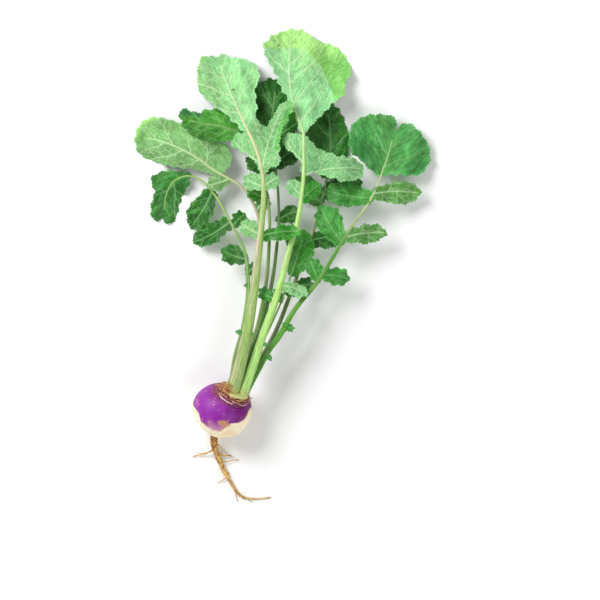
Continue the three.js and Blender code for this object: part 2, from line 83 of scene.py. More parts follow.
# Crescents left by old leaves round the crown: turn of the middle and half width in degrees,
# distance along the axis there, its change over ten degrees, height of the lip, depth of the groove
SCARS = [
    (256, 34, 19.2, -0.2, 1.25, 1.0), (272, 12, 16.4, 0.0, 0.25, 0.3), (316, 15, 17.7, -0.05, 0.4, 0.5),
    (292, 26, 17.9, -0.1, 0.5, 0.9), (322, 24, 19.0, -0.15, 0.8, 1.0), (240, 22, 21.0, -0.3, 0.7, 0.7),
    (205, 30, 21.6, 0.25, 0.8, 0.8), (236, 24, 23.2, 0.0, 0.9, 0.6), (268, 22, 22.4, -0.25, 0.9, 0.8),
    (286, 20, 20.6, -0.2, 0.8, 0.9), (302, 24, 21.9, -0.1, 0.9, 0.9), (334, 22, 21.2, -0.1, 0.8, 1.0),
    (176, 24, 19.6, 0.1, 0.6, 0.9), (150, 26, 21.4, 0.1, 0.8, 0.8), (118, 28, 19.4, 0.2, 0.7, 0.8),
    (88, 30, 21.6, -0.1, 0.8, 0.8), (58, 24, 19.2, -0.2, 0.7, 0.9), (30, 26, 21.2, 0.1, 0.8, 0.7),
    (4, 24, 19.0, 0.1, 0.7, 0.9), (100, 20, 17.4, 0.0, 0.3, 0.4), (20, 16, 17.2, 0.0, 0.3, 0.4),
]
# Small pale flecks: turn in degrees, distance along the axis, half width and half length
FLECKS = [
    (211, 5.2, 0.8, 2.6), (219, 4.4, 0.6, 2.0), (204, 5.6, 0.5, 2.2), (246, 13.2, 0.6, 0.6),
    (235, 16.8, 0.5, 0.5), (240, 15.0, 0.4, 0.6), (199, 14.5, 0.4, 0.7), (228, 13.4, 0.3, 0.4),
    (259, -0.7, 1.1, 0.9), (244, -1.8, 0.6, 1.0), (262, 12.0, 0.35, 0.45), (30, 8.0, 0.7, 1.1),
    (75, 12.0, 0.5, 0.8), (120, 6.0, 0.8, 0.6),
]
# Corky patch on the border: turn, distance along the axis, half width in degrees, half length
PATCH = (288, 3.4, 14.0, 3.6)
# Tan blush on the cream, in the same order
BLUSH = (318, -8.0, 26.0, 6.0)
# Pale roll at the foot of the green stalks: turn of its middle, half width in degrees, place, height
COLLAR_ROLL = (300, 46, 24.3, 0.9)
# Thickness at the foot and at the end, then the points: the dry stub, the tail and its rootlets
STUB = (0.75, 0.4, [(15.5, 8.6, 27.0), (20.0, 9.2, 28.0), (24.6, 9.6, 27.4)])
TAIL = (3.15, 0.45, [
    (-5.6, -18.5, 12.6), (-6.8, -23, 10.2), (-5.8, -32, 6.4), (-3.2, -40, 4.0), (0.8, -49, 2.9),
    (6.2, -58.4, 2.4), (11.6, -67.2, 1.9), (16.4, -71.2, 1.5), (24, -72.4, 1.2), (32, -72.2, 0.9),
    (39.5, -71.2, 0.7),
])
TAIL_TAPER = 1.3
ROOTLETS = [
    (1.1, 0.4, [(-5.6, -31, 7), (-11, -34.6, 4.6), (-17, -36.4, 2.2), (-24.5, -38.6, 0.7)]),
    (0.95, 0.5, [(-4.4, -34, 6), (0, -37.2, 4), (3, -37.6, 2.6), (7, -37.4, 1.6)]),
    (0.7, 0.3, [(-2.4, -41, 4), (2.8, -42.4, 3), (8, -41.2, 1.8), (13.4, -41, 0.8)]),
    (0.6, 0.25, [(-5.2, -27, 8.6), (-1.6, -30, 8.2), (1.4, -33.6, 6.4), (3.4, -37, 3.2)]),
    (1.0, 0.5, [(2.6, -50.4, 3), (4.6, -51.6, 2.6), (5.2, -52.6, 1.6)]),
    (0.7, 0.25, [(3.4, -55, 2.6), (-0.4, -57.6, 1.6), (-4.4, -60, 0.7)]),
    (0.6, 0.25, [(10.6, -66, 2), (10.8, -71, 1.2), (12.4, -75.4, 0.6)]),
]
HAIR_SIZE = (0.24, 0.08)
HAIR_ROOTS = [
    [(-4.6, -29.4, 8.6), (-1.2, -32.6, 7.6), (0.2, -35.8, 5.4), (0.4, -38, 3.4)],
    [(-12.4, -35, 4), (-14.4, -37.6, 2.4), (-18.6, -40.2, 0.8)],
    [(-16.4, -36.2, 2.6), (-19.4, -35, 1.6), (-22.6, -35.6, 0.6)],
    [(5.6, -37.6, 2.2), (8.4, -39.2, 1.2), (10.6, -38.6, 0.5)],
    [(-0.4, -46.4, 4.2), (-4.2, -49.2, 2.4), (-6.4, -53, 0.7)],
    [(-3.6, -38, 6.2), (-7.4, -41, 3.6), (-9.8, -45.2, 0.8)],
    [(8.6, -62, 2.6), (5.6, -64.6, 1.4), (3.6, -68.2, 0.5)],
    [(13.4, -69.4, 2), (16.8, -67.2, 1.2), (19.8, -67.8, 0.5)],
    [(20.6, -72.4, 1.6), (22.4, -74.6, 0.9), (25.8, -75.2, 0.4)],
    [(1.6, -50.6, 3.4), (-1.8, -52.2, 2.2), (-2.8, -55.6, 0.8)],
]

# Leaves, as in the model. `turned` is true where the pale underside faces up, `end` is the outline
# of the end blade, and `outlined` holds lobes with a lift and an outline of their own. The other
# lobes are given by LOBE_FIELDS: the share of the midrib passed, 1 for its left or -1 for its right,
# the angle to it in degrees, length, width, lift, and True where the lobe shows its other face.
SEAT_GAP = 0.3
STALK_START = 6.0
STALK_TAPER = 1.25
STALK_TIP = 0.9
RIB_DEPTH = 1.2
TOOTH_SPACING = 8.2
TOOTH_DEPTH = 2.1
SMALLEST_TOOTH = 0.3
RIPPLES = [(2.6, 38, 0.4), (1.5, 23, 2.1)]
RIPPLE_REACH = 14.0
END_REACH = 26.0
LOBE_SHAPE = [
    (0, -0.2), (0.28, -0.36), (0.6, -0.5), (0.86, -0.36), (1, -0.04),
    (0.88, 0.34), (0.6, 0.5), (0.3, 0.38), (0, 0.22),
]
LOBE_FIELDS = ("at", "side", "angle", "length", "width", "lift", "flipped")
LEAVES = [
    dict(
        name="leaf_tall_left", seat=(-3.3, 4.6), foot=(10.4, 5.6), seed=1, arch=3, turned=True,
        rib=[
            (17.6, 48, 48), (24, 82, 50.5), (28.6, 118, 49), (31.2, 142, 46), (33.6, 173, 40),
            (32, 191, 35.5), (27.7, 208, 31), (17.6, 230, 25), (11.2, 244, 20), (3.4, 262, 12),
            (-1.6, 277, 5),
        ],
        end=[
            (18, 223), (25.6, 234), (26.8, 246), (25.6, 259), (28.8, 266), (26.8, 276), (17.6, 281.6),
            (8, 283), (0, 285), (-8, 283), (-14.4, 284), (-18.6, 278), (-19.4, 266), (-18, 256),
            (-8, 246.4), (0.8, 239), (10.6, 231),
        ],
        outlined=[
            (3, [
                (32, 190), (40, 194.5), (45.4, 196), (44.8, 208), (46.8, 221), (52, 233), (56, 244),
                (51.5, 246.5), (46, 243), (40.4, 231.6), (34.2, 226), (25.6, 233), (18.5, 225),
                (26, 212),
            ]),
            (-3, [(29, 197), (20, 205.5), (10, 210.5), (8.6, 216), (19, 221.5), (25, 213)]),
        ],
        lobes=[
            (0.6, 1, 62, 17, 12, -2), (0.6, -1, 58, 14, 11, 2), (0.46, 1, 66, 17, 13, -3),
            (0.455, -1, 76, 31, 11, 1.5, True),
        ],
    ),
    dict(
        name="leaf_tall_centre", seat=(5.2, 1.2), foot=(8, 6.2), seed=2, arch=2, turned=True,
        rib=[
            (26.4, 40, 42), (33.6, 62.4, 43.5), (41.4, 83.2, 44), (48.8, 108.8, 43), (55.2, 132.8, 40.5),
            (59.8, 147.4, 39.5), (63.5, 169.6, 36), (65.4, 191.2, 32.5), (65.4, 209.6, 29),
            (64.8, 222.6, 26.5), (60.8, 233.6, 24.5), (56, 250.4, 20.5), (53.6, 272, 13), (55, 296, 4),
        ],
        end=[
            (64.2, 222), (71.7, 228.6), (78.6, 236.4), (88.2, 246), (97, 254.6), (98.6, 263.4),
            (102.6, 271), (101, 279), (95, 288.6), (87, 293.8), (77, 296), (71.4, 300), (65.6, 304.2),
            (55, 305.5), (41.3, 300.7), (34, 292), (36.6, 282), (41.3, 273.8), (47.4, 260), (56, 245),
            (60.4, 232),
        ],
        outlined=[
            (-2, [
                (65.6, 188), (73, 190.4), (84, 187.6), (99, 183.4), (111, 186.4), (112.8, 193.6),
                (108, 199), (100, 201), (90.7, 202.6), (82.9, 206), (74.2, 210.4), (66.4, 218),
            ]),
            (-3, [(65.4, 197), (57.6, 205), (50.4, 212), (49.8, 218.6), (57, 221), (65, 218)]),
        ],
        lobes=[
            (0.545, -1, 40, 20, 11, -3, True), (0.56, 1, 50, 15, 11, -4), (0.31, -1, 92, 23, 9, 1),
            (0.27, 1, 80, 15, 9, -4, True),
        ],
    ),
    dict(
        name="leaf_right", seat=(7.6, -4.7), foot=(6, 5), seed=3, arch=1, turned=False,
        rib=[
            (29, 33, 35), (37.4, 48, 36.5), (46, 59.4, 37), (58, 80, 37), (77.6, 104.3, 34.5),
            (100, 140.8, 29), (109.4, 154.6, 26.5), (118.4, 167.5, 23.5), (126, 184, 19),
            (129.8, 195, 16), (133.4, 205, 13), (136.4, 216, 9),
        ],
        end=[
            (127.4, 188), (135, 189.6), (146, 189), (159, 189.6), (165.4, 198.8), (166.4, 209.8),
            (159.6, 221), (152, 229), (145.4, 229), (138.4, 222.5), (139, 233), (130, 236.4),
            (118.6, 236), (107.6, 231.4), (102.4, 220.8), (104, 207), (113, 199.4), (120.4, 192),
        ],
        lobes=[
            (0.8, -1, 62, 37, 17, -6, True), (0.785, 1, 110, 37, 19, -4),
            (0.62, -1, 50, 32, 14, -6, True), (0.6, 1, 62, 33, 20, 1), (0.45, 1, 58, 18, 12, 2),
            (0.47, -1, 62, 21, 13, -8), (0.25, -1, 60, 7, 5, 0),
        ],
    ),
    dict(
        name="leaf_far_left", seat=(-4.4, -5.6), foot=(5.2, 4.4), seed=4, arch=0, turned=True,
        rib=[
            (14, 44, 29.5), (20, 70, 28), (26, 100, 25.5), (30, 130, 23), (28, 158, 20), (16, 178.4, 17),
            (4.8, 185.8, 14.6), (-6.4, 192, 12.5), (-20, 202, 9.5), (-33.6, 209.6, 7.5), (-49.6, 216, 4),
            (-61, 218.4, 1),
        ],
        end=[
            (-69.6, 216.8), (-68, 225), (-63.2, 232), (-54.4, 234.6), (-39.2, 232), (-28, 225),
            (-18, 218.4), (-6, 216), (3, 211), (7, 202.4), (3, 193), (-8, 190), (-21.6, 193.6),
            (-34, 195), (-50.4, 198.8), (-66, 206),
        ],
        lobes=[(0.7, 1, 50, 18, 12, -1), (0.56, -1, 60, 13, 10, -1)],
    ),
    dict(
        name="leaf_drooping_left", seat=(-7, -0.8), foot=(5.2, 4.4), seed=5, arch=2, turned=False,
        rib=[
            (11, 42, 36.5), (17, 65, 36), (20.6, 90, 33), (20.4, 110, 29.5), (18.4, 125.6, 26.5),
            (12, 140, 22.5), (3.2, 156.8, 16.5), (-6.4, 172.8, 11), (-17.6, 184.6, 7.5), (-28, 188, 6),
            (-39, 184, 4), (-45.6, 173, 1.5), (-47.4, 161, 0.5),
        ],
        end=[
            (-27, 189), (-29.4, 178), (-35, 168), (-38, 156), (-43, 150), (-49, 154), (-55, 152.6),
            (-57, 164), (-54, 176), (-57, 185), (-50, 191), (-40, 191.5),
        ],
        lobes=[
            (0.73, 1, 112, 33, 19, -6), (0.6, 1, 92, 34, 16, -9), (0.58, -1, 70, 14, 10, -2),
            (0.45, 1, 62, 20, 15, -5), (0.4, -1, 50, 10, 8, 3),
        ],
    ),
    dict(
        name="leaf_back_centre", seat=(-1.2, -1.2), foot=(4.8, 4.0), seed=6, arch=3, turned=False,
        rib=[
            (22, 44, 37.5), (31, 64, 37), (37, 88, 35), (41, 108, 32), (43, 123, 29.5),
            (45.4, 152, 23.5), (44, 184, 16.5), (40, 208, 11.5), (39, 226, 8), (41, 244, 4),
            (42, 256, 1),
        ],
        end=[
            (40.6, 209), (52, 215), (61, 229), (63, 244), (58, 256), (49, 264), (36, 265), (24, 258),
            (19, 244), (24, 228), (32, 214),
        ],
        lobes=[(0.75, -1, 60, 25, 17, -3), (0.74, 1, 62, 24, 15, -2), (0.57, -1, 62, 18, 13, -4)],
    ),
    dict(
        name="leaf_back_left", seat=(0.8, -6.2), foot=(4.8, 4.2), seed=7, arch=2, turned=False,
        rib=[
            (21.6, 45, 30.5), (29.6, 70, 30), (35, 100, 28.5), (37.6, 130, 26.5), (37.6, 160, 24.5),
            (32.5, 190, 22), (23, 212, 19.6), (12, 222.6, 17.8), (-2, 227.6, 16), (-16, 230, 14),
            (-27, 232.4, 12),
        ],
        end=[
            (20, 217), (18, 227), (6, 237), (-8, 240.5), (-20, 238), (-33, 240.8), (-32, 231),
            (-27, 223.6), (-13.6, 217), (2.4, 216),
        ],
        lobes=[(0.6, 1, 56, 17, 12, -2)],
    ),
    dict(
        name="leaf_back_right", seat=(5.2, -9.1), foot=(4.8, 3.8), seed=8, arch=4, turned=False,
        rib=[
            (26, 32, 26.5), (33, 44, 25.5), (43, 63, 25), (56, 96, 22), (66, 124, 18), (76, 152, 12.5),
            (82, 176, 8.5), (86, 200, 6), (87, 220, 4), (85.6, 238, 1),
        ],
        end=[
            (84.6, 187), (95, 194), (101, 209), (99.6, 227), (93, 241), (84, 247.4), (74, 240),
            (68.6, 226), (69, 208), (75, 193),
        ],
        lobes=[
            (0.72, -1, 58, 31, 19, -3), (0.69, 1, 60, 27, 18, -3), (0.55, -1, 60, 25, 16, -6),
            (0.5, 1, 56, 20, 14, -4), (0.38, -1, 60, 16, 11, -6),
        ],
    ),
    dict(
        name="leaf_young", seat=(2.6, -3.2), foot=(2.5, 2.4), seed=9, arch=2, turned=False,
        rib=[(26, 40, 35.5), (35.4, 60, 35), (46, 83, 33), (54, 104, 31), (60, 122, 29), (64, 136, 27)],
        end=[
            (56, 107), (65, 112), (71.6, 122), (72.6, 134), (66.6, 143), (59, 139.6), (54.6, 128),
            (52.6, 116),
        ],
        lobes=[(0.66, -1, 58, 13, 9, -1), (0.6, 1, 56, 9, 7, -2)],
    ),
]

# Fine leaves: spacing of their points, hairs on a stalk, gap over the floor, relief of the blades
GRID = 0.66 * COARSE
STALK_AROUND = 28
STALK_STEP = 1.5
STALK_SUNK = 1.6
BRISTLES = 260
FLOOR_GAP = 0.05
BLADE_THICKNESS = 0.55
RIM_TAPER = 1.0
VEIN_RIDGE = 0.45
VEIN_GROOVE = 0.22
TWIG_SPACING = 3.4
MAIN_VEINS = (1.2, 16.0)  # width of the middle vein, spacing of the side veins
LOBE_VEINS = (0.9, 12.0)
PUCKER = 0.45
WRINKLE = 0.5
WRINKLE_TURN = math.radians(34)
RUFFLE = 1.1
CURL_DROP = 0.16


def srgb(red, green, blue):
    """A colour given by its screen values, as linear light."""
    screen = np.array([red, green, blue]) / 255
    return np.where(screen <= 0.04045, screen / 12.92, ((screen + 0.055) / 1.055) ** 2.4)


# Colours of the skin, and of each leaf's two faces and stalk
CREAM = srgb(254, 245, 214)
CREAM_SHADE = srgb(246, 222, 172)
PURPLE = srgb(126, 16, 140)
# The pale and deep purples also carry painted light on the bulb's left and painted shade on its right.
PURPLE_PALE_AND_LIT = srgb(142, 42, 158)
PURPLE_DEEP_AND_SHADED = srgb(112, 2, 110)
LILAC = srgb(200, 140, 172)
TAN = srgb(204, 152, 88)
FLECK = srgb(214, 140, 124)
SCAR_GOLD = srgb(174, 122, 56)
SCAR_ROSE = srgb(126, 56, 76)
# The dark scar colour also serves as painted shade in the grooves below the scar lips.
SCAR_DARK_AND_SHADE = srgb(58, 18, 34)
# The pale scar colour doubles as a painted highlight on the raised scar lips.
SCAR_PALE_AND_LIT = srgb(232, 190, 204)
SCAR_STRAW = srgb(214, 168, 92)
ROOT_TAN = srgb(222, 186, 112)
ROOT_BROWN = srgb(124, 66, 18)
COLLAR = srgb(194, 200, 132)
STUB_GREEN = srgb(200, 206, 120)
MAUVE = srgb(200, 172, 160)
LEAF_PALE = srgb(132, 198, 132)
LEAF_DARK = srgb(56, 132, 60)
LEAF_BRIGHT = srgb(34, 138, 20)
LEAF_GREY = srgb(66, 138, 46)
YELLOW_GREEN = srgb(112, 186, 72)
YELLOW_PALE = srgb(170, 226, 120)
SPOT = srgb(60, 60, 24)
# Paler green of the upper faces: partly the leaf's waxy bloom, partly a painted sheen.
BLOOM_AND_SHEEN = srgb(112, 186, 92)
LEAF_COLOURS = {  # face turned up, face turned down, stalk, midrib in the blade, how mauve the stalk is
    "leaf_tall_left": (srgb(132, 200, 130), LEAF_DARK, srgb(148, 182, 96), srgb(206, 208, 158), 0.8),
    "leaf_tall_centre": (srgb(136, 206, 138), LEAF_DARK, srgb(168, 214, 116), srgb(192, 222, 152), 0.2),
    "leaf_right": (srgb(70, 158, 78), LEAF_PALE, srgb(74, 144, 22), srgb(196, 206, 150), 0.12),
    "leaf_far_left": (srgb(108, 168, 92), LEAF_DARK, srgb(150, 170, 110), srgb(196, 208, 150), 0.8),
    "leaf_drooping_left": (srgb(40, 120, 40), LEAF_PALE, srgb(116, 160, 78), srgb(150, 184, 90), 0.2),
    "leaf_back_centre": (srgb(30, 108, 24), LEAF_PALE, srgb(88, 132, 60), srgb(100, 150, 80), 0.3),
    "leaf_back_left": (srgb(48, 128, 18), LEAF_PALE, srgb(110, 150, 70), srgb(110, 160, 70), 0.4),
    "leaf_back_right": (srgb(32, 110, 28), LEAF_PALE, srgb(96, 130, 66), srgb(110, 150, 90), 0.7),
    "leaf_young": (srgb(40, 132, 24), LEAF_PALE, srgb(106, 156, 62), srgb(120, 170, 80), 0.1),
}
# Side lobes take a darker copy of the end blade's colour on the face turned up: partly their own deeper
# green, partly painted shade.
DARK_LOBES_TINT_AND_SHADE = np.array([0.5, 0.76, 0.36])
PALE_LOBES_TINT_AND_SHADE = np.array([0.7, 0.76, 0.66])
WARMTH = np.array([0.16, 0.04, -0.14])
# Beyond this line, seen from above, the tallest leaf's rim curls over and is painted yellower and brighter:
# partly its own yellower green, partly painted light where the bent rim faces the light
CURL_LINE = [(36, 291), (48, 290), (62, 291), (74, 283), (82, 270), (88, 257), (90, 250)]
# Rims that roll over and show the other face: leaf, path seen from above, width, colour
ROLLS = [
    ("leaf_tall_left", [(57, 247), (52.6, 234), (47.4, 221), (45.4, 210)], 3.4, srgb(70, 168, 52)),
    ("leaf_tall_left", [(-15, 285), (-19.6, 278), (-20.4, 266), (-19, 256)], 2.2, srgb(120, 190, 84)),
    ("leaf_far_left", [(-70, 220), (-69, 227), (-63.6, 233), (-54.4, 235.4)], 3.0, srgb(136, 200, 92)),
    ("leaf_back_left", [(-34, 242), (-26, 239), (-19, 239)], 4.0, srgb(24, 96, 40)),
]
# Tiny leaflets on the stalks: leaf, place seen from above, heading in degrees, length
LEAFLETS = [
    ("leaf_tall_left", 16.6, 62.0, 168, 5.6), ("leaf_tall_left", 23.0, 60.0, 40, 3.6),
    ("leaf_tall_centre", 33.0, 53.6, -30, 4.6), ("leaf_right", 36.6, 44.6, -60, 6.0),
    ("leaf_right", 52.4, 67.0, 150, 5.0), ("leaf_tall_centre", 43.6, 95.0, 160, 3.6),
    ("leaf_drooping_left", 21.4, 100.0, 190, 4.2), ("leaf_far_left", 24.6, 92.0, 120, 3.4),
]
# Spots and scratches on the leaves: leaf, place, half length, half width, turn in degrees, colour
MARKS = [
    ("leaf_tall_left", 8.8, 256.8, 1.7, 1.0, 20, SPOT),
    ("leaf_tall_left", 5.6, 262.0, 0.7, 0.5, 0, SPOT),
    ("leaf_tall_centre", 56.8, 264.8, 1.0, 0.6, 60, SPOT),
    ("leaf_tall_centre", 41.6, 296.8, 1.2, 0.8, 0, SPOT),
    ("leaf_tall_centre", 53.0, 296.4, 4.0, 0.4, -24, YELLOW_PALE),
    ("leaf_tall_centre", 51.0, 299.0, 3.0, 0.35, -30, YELLOW_PALE),
    ("leaf_tall_centre", 57.0, 294.0, 2.4, 0.4, -50, YELLOW_PALE),
    ("leaf_tall_centre", 45.0, 293.0, 1.6, 0.6, 30, SPOT),
]


# Points, curves and noise

def chance(count, seed):
    """A number from 0 to 1 that is the same for the same count and seed."""
    value = np.sin(np.asarray(count) * 12.9898 + seed * 78.233) * NOISE_SPREAD
    return value - np.floor(value)


def smooth(low, high, value):
    """0 below low, 1 above high, with a soft step between."""
    share = np.clip((value - low) / (high - low), 0, 1)
    return share * share * (3 - 2 * share)


def hill(value, width):
    """1 where a value is 0, falling off softly over a width on both sides."""
    return np.exp(-(value / width) ** 2)


def mixed(first, second, share):
    """Colours between first and second, one for each share."""
    share = np.clip(np.asarray(share, float), 0, 1)[..., None]
    return first * (1 - share) + second * share


def columns(*values):
    """Values side by side, as rows of places. A single number is repeated."""
    return np.stack(np.broadcast_arrays(*(np.asarray(value, float) for value in values)), axis=-1)


def wound(turn, along, around=1.0, long=1.0):
    """Places at a turn on a round of radius `around`, with the distance along it divided by `long`."""
    return columns(around * np.cos(turn), around * np.sin(turn), along / long)


def unit(vectors):
    return vectors / np.linalg.norm(vectors, axis=-1, keepdims=True)


def heading(angle):
    return np.array([math.cos(angle), math.sin(angle)])


def round_turns(sides):
    return np.arange(sides) / sides * 2 * math.pi


def travelled(path):
    """The distance along a path at each of its points."""
    return np.concatenate([[0], np.cumsum(np.linalg.norm(np.diff(path, axis=0), axis=1))])


def read(path, knots, value):
    """Places on a path whose points lie at the knots."""
    return np.stack([np.interp(value, knots, column) for column in path.T], axis=-1)


def noise(points, size, seed):
    """Smooth noise from -1 to 1 whose lumps are about size across."""
    place = np.asarray(points, float) / size + 17.3 * seed
    cell = np.floor(place)
    part = smooth(0, 1, place - cell)
    total = np.zeros(len(place))
    for corner in np.ndindex(2, 2, 2):
        value = np.sin((cell + corner) @ NOISE_WAYS + seed * 53.3) * NOISE_SPREAD
        weight = np.prod(np.where(np.array(corner) == 1, part, 1 - part), axis=1)
        total += weight * (value - np.floor(value))
    return 2 * total - 1


def rough(points, size, seed, layers=3):
    """Noise with finer layers on top, from about -1 to 1."""
    return sum(noise(points, size / 2 ** i, seed + i) / 2 ** i for i in range(layers)) / 1.5


def in_bulb(along, to_right, upwards):
    """Points of the bulb's frame: distance along the axis, then right and up from it."""
    along, to_right, upwards = (np.asarray(v, float)[..., None] for v in (along, to_right, upwards))
    middle = BULB_CENTRE + along * AXIS + (along / BULB_HALF_LENGTH) ** 2 * BULB_SWAY
    return middle + to_right * RIGHT + upwards * UP


class Curve:
    """A smooth curve through points, read by the share of its length."""

    def __init__(self, points, closed=False):
        given = np.array(points, float)
        if closed:
            runs = [np.roll(given, shift, axis=0) for shift in (1, 0, -1, -2)]
        else:
            ends = np.vstack([2 * given[0] - given[1], given, 2 * given[-1] - given[-2]])
            runs = [ends[:-3], ends[1:-2], ends[2:-1], ends[3:]]
        before, start, end, after = runs
        gaps = [np.sqrt(np.linalg.norm(b - a, axis=1))[:, None] for a, b in zip(runs, runs[1:])]
        leave = (start - before) / gaps[0] - (end - before) / (gaps[0] + gaps[1]) + (end - start) / gaps[1]
        arrive = (end - start) / gaps[1] - (after - start) / (gaps[1] + gaps[2]) + (after - end) / gaps[2]
        first, leave, arrive, last = (v[:, None] for v in (start, leave * gaps[1], arrive * gaps[1], end))
        bend = -3 * first + 3 * last - 2 * leave - arrive
        twist = 2 * first - 2 * last + leave + arrive
        t = (np.arange(CURVE_FINE) / CURVE_FINE)[None, :, None]
        path = (first + leave * t + bend * t ** 2 + twist * t ** 3).reshape(-1, given.shape[1])
        self.path = np.vstack([path, given[0] if closed else given[-1]])
        self.travel = travelled(self.path)
        self.length = self.travel[-1]

    def at(self, share):
        return read(self.path, self.travel, np.asarray(share, float) * self.length)

    def way(self, share):
        share = np.asarray(share, float)
        step = 0.002
        return unit(self.at(np.minimum(share + step, 1)) - self.at(np.maximum(share - step, 0)))

    def across(self, share):
        """Directions to the right of the curve, level, and up from it."""
        way = self.way(share)
        side = unit(columns(way[:, 1], -way[:, 0], 0))
        return side, np.cross(side, way)

    def sections(self, share, sides):
        """For each point of round sections: the section's middle, directions right and up, and its turn."""
        rows = [np.repeat(v, sides, axis=0) for v in (self.at(share), *self.across(share))]
        return *rows, np.tile(round_turns(sides), len(share))


def nearest_on(path, places):
    """For places seen from above: distance to the path, its height there, the share of its points
    passed, and 1 on its left or -1 on its right."""
    run = np.diff(path[:, :2], axis=0)
    away = places[:, None] - path[None, :-1, :2]
    share = np.clip((away * run).sum(axis=2) / (run ** 2).sum(axis=1), 0, 1)
    gap = away - share[..., None] * run
    distance = np.sqrt((gap ** 2).sum(axis=2))
    best = distance.argmin(axis=1)
    rows = np.arange(len(places))
    share = share[rows, best]
    height = path[best, -1] * (1 - share) + path[best + 1, -1] * share
    nearest, ahead = away[rows, best], run[best]
    side = np.where(ahead[:, 0] * nearest[:, 1] > ahead[:, 1] * nearest[:, 0], 1.0, -1.0)
    return distance[rows, best], height, (best + share) / len(run), side


def keep_above(points, height):
    points[:, 2] = np.maximum(points[:, 2], height)


def distance_to(outline, places):
    return nearest_on(outline, places)[0]


# Meshes

def linked(name, data):
    """A new object of the scene."""
    item = bpy.data.objects.new(name, data)
    bpy.context.scene.collection.objects.link(item)
    return item


class Build:
    """Points and faces of one piece, with what its materials read at each point."""

    def __init__(self):
        self.faces, self.kinds, self.rows = [], [], []
        self.count = 0

    def add(self, points, faces, kind, tone, drawn=(0.0, 0.0, 0.0), vein=0.0):
        """`drawn` is a place in a space along which fine streaks run, `vein` how much of a vein or scar
        each point is."""
        self.faces += [tuple(int(i) + self.count for i in face) for face in faces]
        self.kinds += [kind] * len(faces)
        self.rows.append(columns(*np.transpose(points), *np.transpose(tone), *np.transpose(drawn), vein))
        self.count += len(points)

    def piece(self, name, materials):
        rows = np.vstack(self.rows)
        mesh = bpy.data.meshes.new(name)
        mesh.from_pydata((rows[:, :3] * MM).tolist(), [], self.faces)
        for material in materials:
            mesh.materials.append(material)
        mesh.polygons.foreach_set("material_index", np.array(self.kinds, dtype=np.int32))
        mesh.polygons.foreach_set("use_smooth", np.ones(len(self.faces), dtype=bool))
        for layer, kind, field, values in (
            ("tone", "FLOAT_COLOR", "color", np.hstack([rows[:, 3:6], np.ones((len(rows), 1))])),
            ("drawn", "FLOAT_VECTOR", "vector", rows[:, 6:9]),
            ("vein", "FLOAT", "value", rows[:, 9]),
        ):
            mesh.attributes.new(layer, kind, "POINT").data.foreach_set(field, values.ravel())
        mesh.update()
        return linked(name, mesh)


def loft_faces(rings, sides):
    """Faces of a closed skin over rings of points that turn left about the way from first to last."""
    faces = []
    for start in range(0, (rings - 1) * sides, sides):
        for i in range(sides):
            a, b = start + i, start + (i + 1) % sides
            faces.append((a, b, b + sides, a + sides))
    return faces + [tuple(reversed(range(sides))), tuple(range((rings - 1) * sides, rings * sides))]


def vertex_normals(points, triangles):
    corners = points[triangles]
    face = np.cross(corners[:, 1] - corners[:, 0], corners[:, 2] - corners[:, 0])
    total = np.zeros_like(points)
    for i in range(3):
        np.add.at(total, triangles[:, i], face)
    return total / np.maximum(np.linalg.norm(total, axis=1, keepdims=True), 1e-9)


# Swollen root, tail and rootlets

def turned_by(turn, place):
    """How far a turn is from a place, in degrees, from -180 to 180."""
    return (np.degrees(turn) - place + 180) % 360 - 180


def spot_on(turn, along, place, distance, wide, long):
    """1 at a place on the skin, falling off over its half width in degrees and its half length."""
    return hill(turned_by(turn, place), wide) * hill(along - distance, long)


def border_at(turn):
    """How far along the axis purple starts at a turn, and how softly."""
    turns, *values = np.array(PURPLE_BORDER, float).T
    return [np.interp(np.degrees(turn) % 360, turns, column, period=360) for column in values]


def scar_relief(along, turn):
    """Lips of the old leaf scars round the crown, and the shaded groove below each."""
    lip, groove = np.zeros((2, len(along)))
    circle = wound(turn, along, long=12)
    wander = 0.35 * noise(circle, 0.22, 20) + 0.2 * noise(circle, 0.07, 40)
    for place, half, distance, change, height, depth in SCARS:
        aside = turned_by(turn, place)
        window = smooth(half * 1.15, half * 0.75, np.abs(aside))
        off = along - distance - change * aside / 10 - 0.9 * (aside / half) ** 2 + wander
        lip = np.maximum(lip, height * window * hill(off, np.where(off > 0, 0.6, 0.24)))
        groove = np.maximum(groove, depth * window * hill(off + 0.55, 0.36))
    return lip, groove


def by_roll(turn):
    """1 beside the pale roll at the foot of the stalks, 0 away from it."""
    place, half, _, _ = COLLAR_ROLL
    return smooth(half * 1.2, half * 0.8, np.abs(turned_by(turn, place)))


